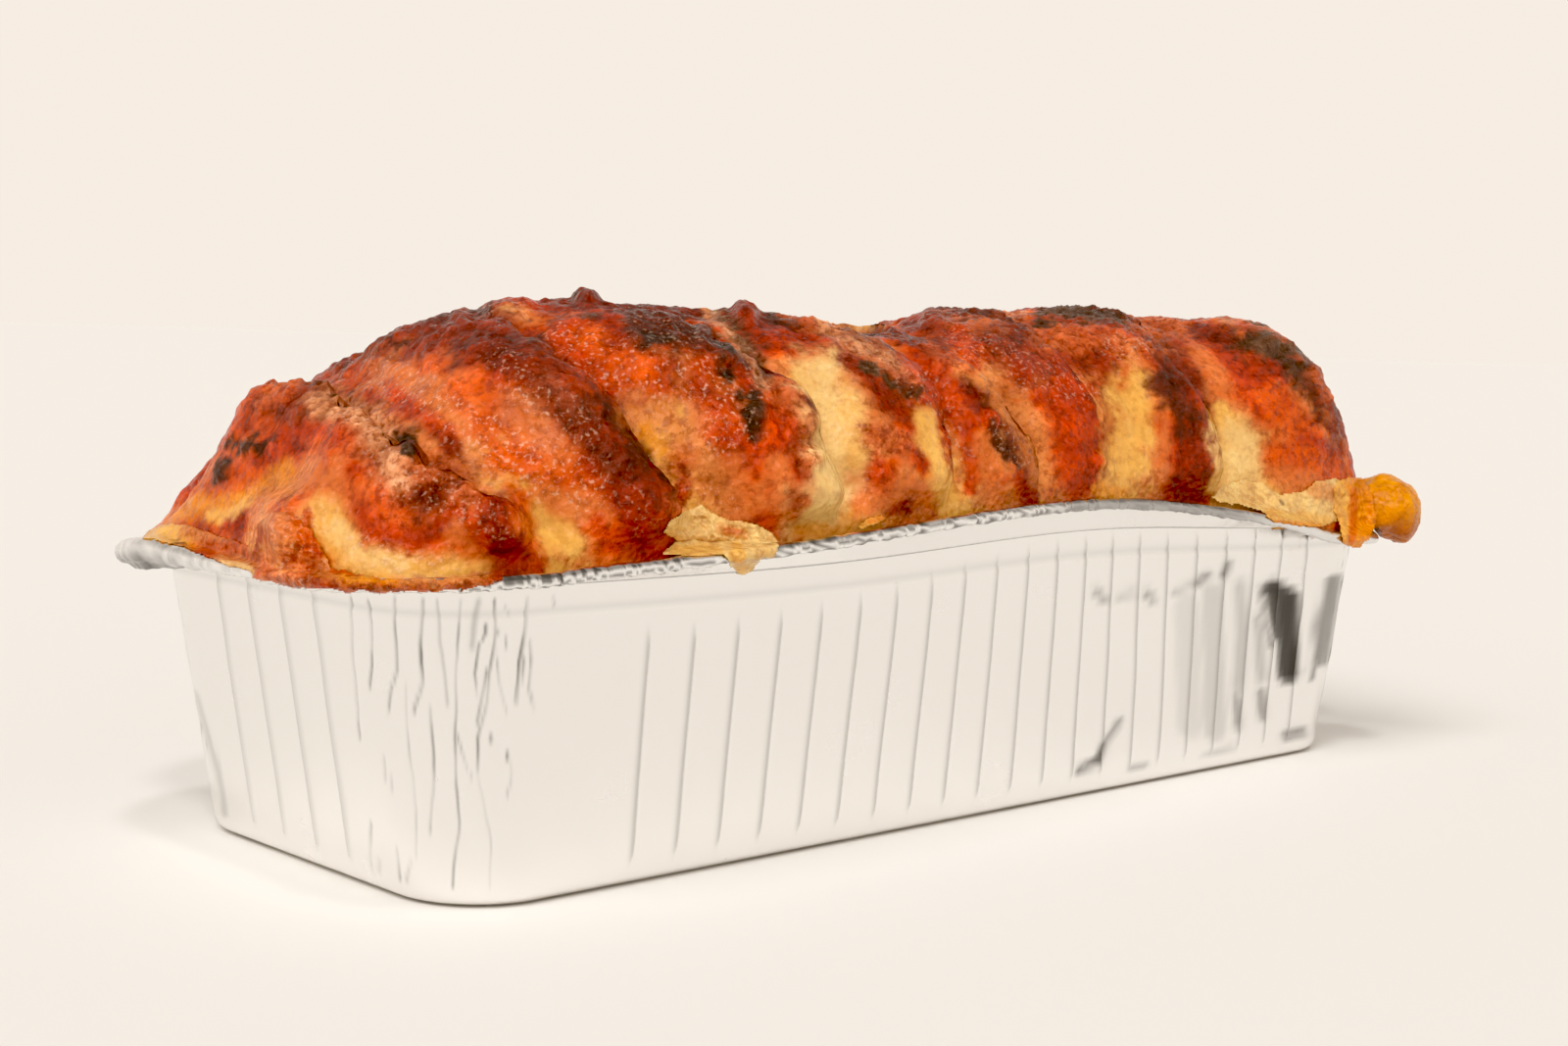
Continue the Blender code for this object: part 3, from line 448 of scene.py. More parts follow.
# %% Strokes over the front, in pixels of the picture
# (finish, half width in pixels, strength, places along the stroke)
STROKES = (
    # left end
    ("tan", 20, 0.9, ((178, 532), (205, 500), (222, 480))),
    ("orange", 26, 0.9, ((205, 540), (235, 480), (265, 425), (300, 400))),
    ("gold", 15, 0.9, ((205, 520), (232, 520), (262, 505), (292, 482))),
    ("yellow", 8, 0.8, ((232, 526), (250, 524), (262, 514))),
    ("orange", 12, 0.9, ((205, 552), (235, 552), (262, 548))),
    ("meat", 13, 0.7, ((262, 412), (285, 396), (312, 386), (340, 382))),
    ("burgundy", 10, 0.8, ((290, 424), (304, 412), (312, 398))),
    ("orange", 13, 0.8, ((232, 470), (246, 492), (262, 478))),
    ("red", 8, 0.8, ((262, 470), (288, 458), (306, 440))),
    ("black", 9, 0.95, ((240, 454), (256, 455), (268, 456))),
    ("dark", 7, 0.8, ((268, 452), (280, 448))),
    ("black", 7, 0.9, ((231, 474), (228, 487))),
    ("flame", 13, 0.95, ((312, 444), (332, 440), (346, 452))),
    ("salmon", 24, 0.9, ((322, 478), (340, 490), (352, 506))),
    ("orange", 11, 0.8, ((316, 454), (336, 458))),
    ("yellow", 24, 0.9, ((338, 530), (352, 552), (385, 570), (430, 582), (490, 586))),
    ("cream", 12, 0.7, ((352, 540), (376, 562), (410, 574))),
    ("cream", 7, 0.7, ((420, 590), (460, 594), (500, 590))),
    ("gold", 15, 0.97, ((150, 549), (170, 541), (190, 545))),
    ("yellow", 13, 0.9, ((152, 549), (168, 542), (184, 544))),
    ("tan", 12, 0.9, ((196, 540), (228, 558), (256, 572))),
    ("flame", 8, 0.6, ((216, 556), (250, 564))),
    ("cream", 6, 0.7, ((226, 573), (254, 583))),
    ("scorch", 3, 0.6, ((184, 553), (186, 555))),
    # lobe that hangs over the rim
    ("tan", 24, 0.95, ((284, 516), (294, 545), (300, 580))),
    ("orange", 13, 0.8, ((302, 520), (314, 552))),
    ("salmon", 12, 0.8, ((278, 518), (290, 542))),
    ("meat", 9, 0.9, ((264, 566), (276, 588), (304, 594))),
    ("red", 5, 0.7, ((263, 522), (262, 560))),
    ("flame", 5, 0.8, ((322, 522), (330, 548))),
    ("meat", 12, 0.8, ((296, 570), (322, 590))),
    ("tan", 10, 0.9, ((330, 588), (352, 596))),
    ("gold", 8, 0.95, ((352, 592), (380, 592), (404, 594))),
    ("yellow", 4, 0.8, ((374, 599), (396, 602))),
    ("tan", 8, 0.9, ((410, 594), (450, 595), (502, 590))),
    ("meat", 4, 0.7, ((402, 602), (440, 600), (480, 599))),
    # first fold, rough meat
    ("meat", 30, 0.95, ((372, 430), (398, 470), (412, 505), (420, 530))),
    ("orange", 22, 0.7, ((372, 500), (390, 525), (410, 530))),
    ("pale meat", 19, 0.95, ((330, 410), (356, 412), (384, 436), (398, 470), (410, 490))),
    ("meat", 8, 0.7, ((366, 460), (376, 480), (388, 492))),
    ("meat", 26, 0.9, ((440, 480), (455, 500), (470, 512))),
    ("burgundy", 10, 0.8, ((425, 503), (444, 507))),
    ("black", 8, 0.95, ((413, 448), (418, 460))),
    ("flame", 15, 0.95, ((372, 520), (388, 542), (420, 552), (448, 544), (466, 528))),
    ("red", 7, 0.8, ((410, 552), (440, 545), (462, 532))),
    ("salmon", 16, 0.8, ((466, 548), (480, 560))),
    ("red", 26, 0.95, ((508, 526), (516, 556), (520, 582))),
    ("burgundy", 10, 0.8, ((500, 530), (508, 556))),
    ("dark", 9, 0.7, ((518, 520), (532, 540), (538, 560))),
    ("meat", 7, 0.8, ((332, 604), (380, 600), (430, 603), (500, 598))),
    # second fold
    ("salmon", 30, 0.9, ((392, 384), (430, 390), (470, 400), (486, 430))),
    ("orange", 16, 0.8, ((466, 396), (482, 420), (496, 446))),
    ("purple", 18, 0.65, ((380, 360), (430, 342), (480, 330), (520, 330))),
    ("burgundy", 16, 0.8, ((440, 334), (490, 334), (530, 342))),
    ("dark", 6, 0.9, ((404, 350), (414, 350))),
    ("orange", 10, 0.9, ((430, 374), (450, 376))),
    ("flame", 12, 0.95, ((400, 400), (430, 424), (460, 452))),
    ("burgundy", 9, 0.9, ((444, 446), (464, 456))),
    ("orange", 26, 0.95, ((488, 398), (512, 430), (540, 458))),
    ("burgundy", 26, 0.95, ((505, 350), (530, 372), (560, 390), (590, 420))),
    ("purple", 24, 0.9, ((556, 392), (584, 418), (606, 450), (622, 474))),
    ("salmon", 22, 0.7, ((520, 420), (545, 440), (570, 468))),
    ("burgundy", 18, 0.9, ((606, 446), (628, 462), (644, 488), (646, 502))),
    ("dark", 13, 0.95, ((548, 350), (580, 368), (604, 396), (626, 424), (642, 448), (650, 470))),
    ("orange", 20, 0.95, ((510, 470), (545, 480), (590, 492), (606, 500))),
    ("salmon", 20, 0.9, ((545, 510), (580, 518), (610, 524))),
    ("yellow", 17, 0.95, ((545, 532), (566, 545), (584, 564))),
    ("orange", 12, 0.8, ((520, 500), (532, 530), (548, 572))),
    ("red", 20, 0.9, ((632, 505), (648, 530), (655, 556))),
    ("flame", 16, 0.9, ((606, 536), (626, 560))),
    # crest lumps
    ("red", 10, 0.9, ((490, 316), (520, 310), (552, 314))),
    ("dark", 6, 0.9, ((484, 317), (500, 320))),
    # third fold
    ("flame", 34, 0.95, ((585, 350), (620, 372), (655, 385))),
    ("orange", 18, 0.8, ((600, 345), (632, 372), (660, 392))),
    ("burgundy", 15, 0.95, ((560, 306), (610, 308), (660, 312), (706, 318))),
    ("black", 6, 0.95, ((585, 299), (612, 297))),
    ("dark", 22, 0.9, ((650, 330), (690, 342), (716, 356))),
    ("black", 8, 0.7, ((658, 344), (676, 346))),
    ("red", 7, 0.9, ((628, 412), (650, 413))),
    ("tan", 20, 0.9, ((640, 425), (668, 428), (690, 440))),
    ("gold", 13, 0.85, ((655, 438), (670, 455), (684, 468))),
    ("flame", 26, 0.9, ((705, 388), (722, 418), (738, 452))),
    ("meat", 12, 0.95, ((684, 466), (690, 490), (684, 520), (672, 548))),
    ("red", 9, 0.8, ((690, 474), (694, 490), (688, 504))),
    ("red", 8, 0.8, ((676, 520), (670, 545))),
    ("tan", 22, 0.95, ((712, 478), (726, 500), (740, 520))),
    ("salmon", 16, 0.8, ((742, 470), (750, 500), (752, 525))),
    ("pale meat", 9, 0.95, ((724, 322), (742, 340), (757, 362), (770, 390))),
    ("scorch", 10, 0.8, ((738, 326), (758, 352), (768, 372))),
    ("black", 9, 0.97, ((732, 358), (736, 376))),
    ("black", 11, 0.97, ((758, 406), (764, 440))),
    ("burgundy", 12, 0.95, ((750, 316), (768, 320))),
    ("flame", 18, 0.95, ((782, 424), (788, 460), (792, 500))),
    ("salmon", 14, 0.85, ((785, 470), (792, 500), (790, 522))),
    ("red", 9, 0.9, ((802, 505), (806, 530))),
    ("flame", 12, 0.8, ((770, 530), (800, 540))),
    ("red", 16, 0.95, ((775, 345), (802, 352), (828, 350))),
    ("meat", 17, 0.97, ((793, 404), (808, 424), (812, 448), (812, 474))),
    ("red", 5, 0.8, ((790, 418), (800, 444), (804, 466))),
    # fourth fold
    ("cream", 36, 0.97, ((838, 385), (846, 420), (846, 460), (840, 505), (832, 538))),
    ("yellow", 14, 0.6, ((850, 390), (862, 430), (862, 470))),
    ("cream", 18, 0.95, ((840, 490), (832, 520))),
    ("gold", 10, 0.6, ((812, 542), (850, 540), (868, 520))),
    ("meat", 13, 0.95, ((800, 314), (830, 330), (858, 346))),
    ("red", 22, 0.97, ((868, 372), (892, 398), (914, 420))),
    ("burgundy", 9, 0.8, ((856, 366), (880, 384), (905, 404))),
    ("pale meat", 11, 0.95, ((838, 334), (872, 352), (904, 368), (926, 386))),
    ("scorch", 6, 0.95, ((878, 372), (904, 388), (932, 402))),
    ("meat", 18, 0.9, ((884, 444), (915, 452))),
    ("flame", 16, 0.95, ((886, 480), (892, 500))),
    ("salmon", 18, 0.95, ((872, 512), (905, 508), (930, 500))),
    ("red", 9, 0.85, ((904, 522), (922, 516))),
    ("yellow", 15, 0.97, ((938, 424), (938, 452), (947, 474), (960, 500), (964, 518))),
    # fifth fold
    ("purple", 8, 0.95, ((905, 338), (950, 362), (984, 392))),
    ("flame", 20, 0.95, ((928, 372), (955, 392), (972, 420))),
    ("flame", 11, 0.95, ((984, 440), (990, 470), (986, 500))),
    ("orange", 7, 0.8, ((982, 450), (992, 490))),
    ("salmon", 13, 0.95, ((998, 446), (1008, 480), (1014, 505))),
    ("burgundy", 14, 0.97, ((996, 402), (1018, 424), (1040, 452), (1054, 484))),
    ("dark", 9, 0.95, ((1008, 430), (1028, 456), (1038, 474))),
    ("red", 11, 0.9, ((1050, 484), (1054, 512))),
    # sixth fold
    ("tan", 20, 0.97, ((996, 378), (1022, 402), (1048, 440), (1062, 478))),
    ("tan", 14, 0.8, ((1072, 490), (1082, 504))),
    ("meat", 26, 0.9, ((960, 340), (1010, 345), (1080, 348), (1140, 352))),
    ("burgundy", 18, 0.9, ((930, 338), (952, 332), (966, 346))),
    ("burgundy", 16, 0.9, ((1012, 350), (1034, 354), (1042, 340))),
    ("flame", 14, 0.8, ((980, 345), (992, 366))),
    ("red", 20, 0.9, ((1050, 372), (1092, 376), (1132, 370))),
    ("flame", 34, 0.97, ((1098, 412), (1106, 440), (1108, 468))),
    ("red", 16, 0.8, ((1132, 396), (1148, 412), (1140, 460))),
    ("yellow", 28, 0.97, ((1164, 404), (1164, 440), (1160, 470), (1152, 500))),
    ("gold", 9, 0.7, ((1128, 500), (1160, 504))),
    ("salmon", 10, 0.9, ((1190, 400), (1200, 440), (1200, 490))),
    ("scorch", 11, 0.95, ((1066, 322), (1110, 318), (1160, 330))),
    ("meat", 20, 0.95, ((1170, 330), (1190, 352), (1206, 376))),
    ("purple", 14, 0.85, ((1196, 352), (1222, 386))),
    ("burgundy", 24, 0.97, ((1204, 384), (1224, 420), (1230, 452))),
    ("dark", 15, 0.9, ((1198, 394), (1210, 420), (1216, 440))),
    ("red", 22, 0.97, ((1232, 462), (1228, 486), (1216, 508))),
    # right end
    ("yellow", 9, 0.97, ((1248, 416), (1256, 440), (1258, 470), (1252, 500))),
    ("cream", 22, 0.97, ((1268, 450), (1272, 478), (1270, 500))),
    ("flame", 24, 0.95, ((1226, 344), (1250, 362), (1278, 392), (1296, 412))),
    ("salmon", 10, 0.8, ((1222, 358), (1240, 380), (1250, 398))),
    ("meat", 12, 0.9, ((1168, 324), (1200, 330), (1216, 338))),
    ("burgundy", 11, 0.95, ((1222, 336), (1258, 342))),
    ("orange", 20, 0.95, ((1296, 410), (1316, 424), (1330, 440))),
    ("scorch", 18, 0.97, ((1278, 346), (1306, 362), (1334, 378), (1346, 396))),
    ("burgundy", 20, 0.95, ((1350, 384), (1364, 410), (1368, 434))),
    ("meat", 8, 0.8, ((1340, 380), (1356, 404))),
    ("red", 11, 0.95, ((1330, 448), (1350, 456), (1366, 464))),
    ("orange", 18, 0.95, ((1308, 466), (1336, 474), (1362, 484))),
    ("salmon", 12, 0.8, ((1306, 484), (1336, 492))),
)


# Where pale specks are painted as highlights on the wet crust: half width in pixels, strength, places.
PAINTED_HIGHLIGHT_SPECKS = (
    (26, 0.9, ((395, 385), (430, 398), (470, 425))), (34, 1.0, ((490, 440), (540, 470), (600, 492))),
    (24, 0.8, ((515, 375), (550, 410), (590, 440))), (28, 0.9, ((580, 345), (620, 368), (660, 385))),
    (26, 1.0, ((700, 375), (718, 405), (735, 445))), (16, 0.6, ((650, 330), (700, 345))),
    (22, 0.8, ((430, 490), (470, 512), (505, 530))), (18, 0.7, ((370, 555), (410, 572), (460, 580))),
    (18, 0.8, ((836, 375), (846, 405), (852, 430))), (22, 0.7, ((985, 350), (1050, 375), (1110, 398))),
    (14, 0.9, ((1140, 350), (1170, 360))), (18, 0.7, ((935, 390), (960, 420), (975, 460))),
    (26, 0.7, ((285, 515), (300, 545), (305, 580))), (22, 0.8, ((385, 455), (400, 490), (440, 510))),
    (14, 0.7, ((735, 335), (752, 365), (765, 400))), (14, 0.6, ((850, 345), (890, 365), (925, 385))),
    (18, 0.6, ((640, 505), (655, 535))), (14, 0.6, ((500, 316), (530, 318))),
    (14, 0.7, ((1015, 430), (1040, 465))), (12, 0.5, ((700, 500), (740, 510))),
)


def stroke_distance(across_px, down_px, places):
    """Distance in pixels from points to a line through the given places."""
    spot = np.stack([across_px, down_px], axis=1)
    nearest = np.full(len(spot), 1e9)
    for first, second in zip(places, places[1:]):
        first, second = np.array(first, float), np.array(second, float)
        run = second - first
        share = np.clip(((spot - first) @ run) / (run @ run), 0.0, 1.0)
        nearest = np.minimum(nearest, np.linalg.norm(spot - first - share[:, None] * run, axis=1))
    return nearest


def paint(points, strip, step, row):
    """Colour, crust, wetness and painted highlight specks of every point of the crust."""
    broad = fractal(points, 24.0, 3, seed=3)
    small = fractal(points, 7.0, 3, seed=4)
    fine = fractal(points, 2.6, 2, seed=5)
    crown = 1.0 - smoothstep(0.15, 0.75, np.abs(row))
    browning = smoothstep(0.0, 1.0, 0.10 + 0.62 * step + 0.28 * crown + 0.35 * broad + 0.16 * small)
    browning = np.where(strip == len(FOLDS), browning + 0.12 * step, browning)
    browning = browning - 0.35 * smoothstep(0.86, 1.0, np.abs(row)) * (0.6 + broad)
    values = ramp(np.clip(browning, 0.0, 1.0))
    scorched = smoothstep(0.45, 0.75, fractal(points, 16.0, 3, seed=9)) * crown
    values += (np.array((*BAKE["scorch"][0], *BAKE["scorch"][1:])) - values) * 0.8 * scorched[:, None]
    across_px, down_px, _ = to_picture(points)
    facing = 1.0 - smoothstep(0.30, 0.45, row)
    for title, half, strength, places in STROKES:
        box = np.array(places)
        wide = 2.0 * half + 8.0
        near = (across_px > box[:, 0].min() - wide) & (across_px < box[:, 0].max() + wide)
        near &= (down_px > box[:, 1].min() - wide) & (down_px < box[:, 1].max() + wide) & (facing > 0.0)
        if not near.any():
            continue
        apart = stroke_distance(across_px[near], down_px[near], places)
        burnt = title in ("black", "dark", "scorch")
        apart = apart + half * (0.8 if burnt else 0.5) * small[near] + (7.0 if burnt else 4.0) * fine[near]
        core = 0.40 if burnt else 0.25
        weight = strength * facing[near] * (1.0 - smoothstep(core * half, 1.35 * half, apart))
        finish = np.array((*BAKE[title][0], *BAKE[title][1:]))
        values[near] += (finish - values[near]) * weight[:, None]
    # Painted highlights: pale specks stand for glints on the wet crust, from noise on the back and from the
    # listed strokes on the front.
    painted_highlights = 0.5 * smoothstep(-0.1, 0.5, small) * (1.0 - facing)
    for half, strength, places in PAINTED_HIGHLIGHT_SPECKS:
        apart = stroke_distance(across_px, down_px, places) + half * 0.4 * small
        painted_highlights = np.maximum(painted_highlights, strength * facing * (1.0 - smoothstep(0.4 * half, 1.3 * half, apart)))
    return np.column_stack([values, painted_highlights])


# %% Grain of the crust
# Beads and bubbles on the crust: place in the picture, half width in pixels, height in mm.
BEADS = (
    (732, 366, 9, 1.8), (761, 422, 13, 2.2), (758, 320, 13, 2.0), (518, 312, 26, 1.8), (598, 300, 14, 2.4),
    (256, 455, 10, 1.0), (229, 480, 8, 1.0), (416, 454, 9, 0.8), (436, 504, 13, -0.8), (515, 552, 22, 2.6),
    (810, 430, 15, 2.0), (818, 466, 11, 1.6), (640, 345, 10, 1.2), (712, 340, 9, 1.4), (1008, 426, 10, 1.6),
    (1161, 355, 8, 1.4), (1012, 350, 9, 1.0), (952, 330, 13, 1.4), (1066, 400, 7, 1.0), (1098, 426, 7, 0.9),
    (1130, 470, 9, 1.2), (470, 322, 9, 1.0), (620, 372, 8, 0.9), (600, 350, 8, 0.9), (650, 385, 8, 0.9),
    (290, 522, 24, 2.2), (298, 566, 26, 2.4), (840, 352, 10, 1.0), (930, 396, 8, 1.2), (690, 500, 10, 1.0),
    (1350, 372, 12, 1.0), (1290, 352, 12, 1.0), (440, 372, 9, 0.8), (395, 372, 9, 0.8),
)


def bead_relief(points, row):
    """Height of the single beads over each point."""
    across_px, down_px, _ = to_picture(points)
    relief = np.zeros(len(points))
    for bead_x, bead_y, half, height in BEADS:
        apart = np.hypot(across_px - bead_x, down_px - bead_y) / half
        relief += height * np.exp(-1.2 * apart ** 4) * (row < 0.3)
    return relief


def crust_relief(points, crust, row):
    """Fine relief of the crust in mm: swells, and blisters, wrinkles and grain where it is crusty."""
    swell = 0.90 * fractal(points, 13.0, 2, seed=21)
    domes = 1.10 * (0.5 - np.minimum(blisters(points, 4.6, seed=1), 0.9))
    beads = 0.80 * (0.5 - np.minimum(blisters(points, 2.4, seed=2), 0.8))
    wrinkles = 0.70 * (0.35 - np.abs(hills(points, 3.6, seed=31)))
    grain = 0.20 * hills(points, 1.6, seed=32)
    rough = 0.10 + 1.0 * crust
    pits = -0.9 * smoothstep(0.30, 0.12, blisters(points, 3.4, seed=4)) * smoothstep(0.85, 0.95, crust)
    return swell + rough * (domes + beads + wrinkles + grain) + pits + bead_relief(points, row)


def painted_relief_shade(relief, crust):
    """Painted shade in the hollows of the crust and painted light on its tips: rgb factors from the relief.
    """
    depth = np.clip(relief / 0.7, -1.0, 1.0) * np.clip(1.5 * crust, 0.0, 1.0)
    return np.exp(depth[:, None] * (0.30, 0.42, 0.50))


# %% [markdown]
# ## Closing the loaf
# Near the rim the crust runs out over the flange where that lies flat, and stays inside it where it is
# tipped up. A skirt below each sheet closes the loaf: the lip's underside, its seat on the wall, and the
# side that goes down inside the tray.

# %% Lip and skirt
def run_to_rim(skin):
    """Flare a sheet's low edge out over the flange, and give it the tray's handled shape."""
    core_x = np.clip(skin[..., 0], -(TOP_HALF[0] - TOP_HALF[1]), TOP_HALF[0] - TOP_HALF[1])
    away = np.stack([skin[..., 0] - core_x, skin[..., 1]], axis=2) / TOP_HALF[1]
    out_by = np.linalg.norm(away, axis=2)
    low = 1.0 - smoothstep(WALL_HEIGHT, WALL_HEIGHT + 22.0, skin[..., 2])
    lip = lip_reach(skin[..., 0], skin[..., 1]) * low * smoothstep(0.75, 1.0, out_by)
    skin[..., :2] += (lip / np.maximum(out_by, 1e-6))[..., None] * away
    return np.stack(handled(skin[..., 0], skin[..., 1], skin[..., 2]), axis=2)


def skirt_line(line_x, line_y, level, inset):
    """One line of the skirt and its outward directions, from the plan of the sheet's edge."""
    middle = [np.clip(line, -(half - TOP_CORNER), half - TOP_CORNER)
              for line, half in zip((line_x, line_y), TOP_HALF)]
    out = np.stack([line_x - middle[0], line_y - middle[1]], axis=1)
    out = out / np.maximum(np.linalg.norm(out, axis=1, keepdims=True), 1e-6)
    height = WALL_HEIGHT if isinstance(level, str) else level
    offset = np.full_like(line_x, -inset)
    z = np.full_like(line_x, WALL_HEIGHT + SEAT if level == "seat" else height)
    if level == "lip":
        offset, z = lip_reach(line_x, line_y) - inset, lip_underside(line_x, line_y)
    top, here = level_sizes(WALL_HEIGHT), level_sizes(height)
    plan = [part * (here[side] - here[2]) / (top[side] - top[2]) + out[:, side] * (here[2] + offset)
            for side, part in enumerate(middle)]
    moved = handled(plan[0], plan[1], np.full_like(z, height))
    return np.stack([moved[0], moved[1], z], axis=1), np.pad(out, ((0, 0), (0, 1)))


def border_of(grid, front):
    """A sheet's outer border as one line, from its left meeting point round to the right or back again."""
    if front:
        return np.concatenate([grid[0, ::-1], grid[1:-1, 0], grid[-1, :]])
    return np.concatenate([grid[-1, :], grid[-2:0:-1, -1], grid[0, ::-1]])


# %% Build one sheet of the loaf
def make_sheet(name, rows, strip_columns, front):
    """One sheet of the loaf's crust. Its rows hold one more at the meeting row, only for smooth shading."""
    x, folds, step, strip = lay_out(rows, strip_columns)
    row_grid = np.broadcast_to(rows, x.shape)
    skin, clear = raise_folds(x, folds, rows)
    spots = skin.reshape(-1, 3)
    values = paint(spots, strip.ravel(), step.ravel(), row_grid.ravel())
    relief = crust_relief(spots, values[:, 3], row_grid.ravel())
    # Painted shade in the crust's hollows and painted light on its tips.
    values[:, :3] *= painted_relief_shade(relief, values[:, 3])
    relief *= (0.15 + 0.85 * clear.ravel()) * smoothstep(0.0, 0.03, 1.0 - np.abs(row_grid.ravel()))
    skin = run_to_rim(skin + grid_normals(skin) * relief.reshape(x.shape)[..., None])
    normals = grid_normals(skin)
    values = values.reshape(*x.shape, -1)
    kept = slice(None, -1) if front else slice(1, None)
    x, skin, normals, values = x[:, kept], skin[:, kept], normals[:, kept], values[:, kept]
    y = np.broadcast_to(np.sin(rows[kept] * math.pi / 2.0) * TOP_HALF[1], x.shape)
    columns, row_count = x.shape
    upper = border_of(np.arange(x.size).reshape(x.shape), front)
    faces = sheet_faces(columns, row_count)
    points, directions, paints = [skin.reshape(-1, 3)], [normals.reshape(-1, 3)], [values.reshape(x.size, -1)]
    edge_paint = paints[0][upper]
    total = x.size
    for level, inset in (("lip", GAP), ("seat", CAD_FOIL + 2.0 * GAP), (50.0, CAD_FOIL + GAP)):
        line, out = skirt_line(border_of(x, front), border_of(y, front), level, inset)
        lower = np.arange(total, total + len(line))
        faces += band_faces(lower, upper, closed=False)
        points.append(line)
        directions.append(out)
        paints.append(edge_paint)
        upper, total = lower, total + len(line)
    points, directions, paints = (np.concatenate(part) for part in (points, directions, paints))
    return make_mesh(name, points, faces, "loaf", (("bake", paints[:, :3]), ("skin", paints[:, 3:])),
                     directions)


front_rows = np.linspace(-1.0, MEETING_ROW, 172)
back_rows = np.linspace(MEETING_ROW, 1.0, 96)
front_rows = np.append(front_rows, 2.0 * front_rows[-1] - front_rows[-2])
back_rows = np.insert(back_rows, 0, 2.0 * back_rows[0] - back_rows[1])
loaf_front = make_sheet("loaf_crust_front", front_rows, 66, True)
loaf_back = make_sheet("loaf_crust_back", back_rows, 44, False)

# %% [markdown]
# ## The foil
# The tray is pressed from thin foil. Its walls carry narrow upright ribs that end below the rim, every
# 12 mm along the sides and every 13 mm across the ends. Its corners are gathered in fine irregular pleats,
# and its edge is rolled and crinkled. The wall is lofted from rings, so that each kind of crease is a small
# push along the outward direction. The places round a ring crowd together at the ribs and at the near
# corner, where the creases are narrow.

# %% Foil layout
RIB_STOPS = (-2.6, -1.7, -1.1, -0.6, -0.25, 0.0, 0.25, 0.6, 1.1, 1.7, 2.6)
# Ribs of the long and the end walls: first place, count and pitch.
LONG_RIBS, END_RIBS = (-111.85, 21, 11.92), (-19.2, 4, 13.05)


def rib_row(first, count, pitch, limit):
    """Places along one wall, crowded round its ribs."""
    spots = {-limit, limit}
    for number in range(count):
        centre = first + number * pitch
        spots.update(centre + stop for stop in RIB_STOPS)
    spots.update(np.linspace(-limit, limit, int(limit * 0.9)))
    spots = sorted(spot for spot in spots if -limit <= spot <= limit)
    kept = [spots[0]]
    for spot in spots[1:]:
        if spot - kept[-1] > 0.24:
            kept.append(spot)
    return np.array(kept)


def rib_height(place, first, count, pitch):
    """Share of a rib's height at places along a wall."""
    number = np.clip(np.round((place - first) / pitch), 0, count - 1)
    return np.exp(-((place - first - number * pitch) / 0.75) ** 2)


long_places = rib_row(*LONG_RIBS, BASE_HALF[0] - BASE_CORNER)
end_places = rib_row(*END_RIBS, BASE_HALF[1] - BASE_CORNER)
# The near left corner, whose fine pleats the picture shows best, has more points than the others.
CORNER_POINTS = (46, 46, 46, 130)
corner_turns = [np.linspace(0.0, 0.5, count)[1:-1] for count in CORNER_POINTS]
fine = np.arange(-BASE_HALF[0] + BASE_CORNER, -BASE_HALF[0] + BASE_CORNER + 21.0, 0.32)
long_front = np.union1d(np.round(long_places, 3), np.round(fine, 3))
fine = np.arange(-BASE_HALF[1] + BASE_CORNER, -BASE_HALF[1] + BASE_CORNER + 9.0, 0.32)
end_left = np.union1d(np.round(end_places, 3), np.round(fine, 3))


def drawn_out(places, ribs, limit, base_limit):
    """Places along a wall, those past its ribs moved so that they reach the corners at one height."""
    first, last = ribs[0] - 1.2, ribs[0] + (ribs[1] - 1) * ribs[2] + 1.2
    return np.interp(places, (-base_limit, first, last, base_limit), (-limit, first, last, limit))


def station_ring(z):
    """Plan points and outward directions once round the tray's outside at height z."""
    half_length, half_width, corner = level_sizes(z)
    plan, out = [], []
    front, back = (drawn_out(places, LONG_RIBS, half_length - corner, BASE_HALF[0] - BASE_CORNER)
                   for places in (long_front, long_places[::-1]))
    right, left = (drawn_out(places, END_RIBS, half_width - corner, BASE_HALF[1] - BASE_CORNER)
                   for places in (end_places, end_left[::-1]))
    sides = ((front, (1, 0), (0, -half_width), (0, -1)), (right, (0, 1), (half_length, 0), (1, 0)),
             (back, (1, 0), (0, half_width), (0, 1)), (left, (0, 1), (-half_length, 0), (-1, 0)))
    for number, (places, run, base, normal) in enumerate(sides):
        plan.append(np.outer(places, run) + np.array(base))
        out.append(np.tile(np.array(normal, float), (len(places), 1)))
        angle = math.pi * (corner_turns[number] + 0.5 * number - 0.5)
        round_out = np.stack([np.cos(angle), np.sin(angle)], axis=1)
        centre = np.sign(round_out.mean(axis=0)) * (half_length - corner, half_width - corner)
        plan.append(centre + corner * round_out)
        out.append(round_out)
    return np.concatenate(plan), np.concatenate(out)


ribs_here = []
for places, ribs, turns in zip((long_front, end_places, long_places[::-1], end_left[::-1]),
                               (LONG_RIBS, END_RIBS, LONG_RIBS, END_RIBS), corner_turns):
    ribs_here += [rib_height(places, *ribs), np.zeros(len(turns))]
ribs_here = np.concatenate(ribs_here)
STATION_COUNT = len(ribs_here)
print("foil stations:", STATION_COUNT)
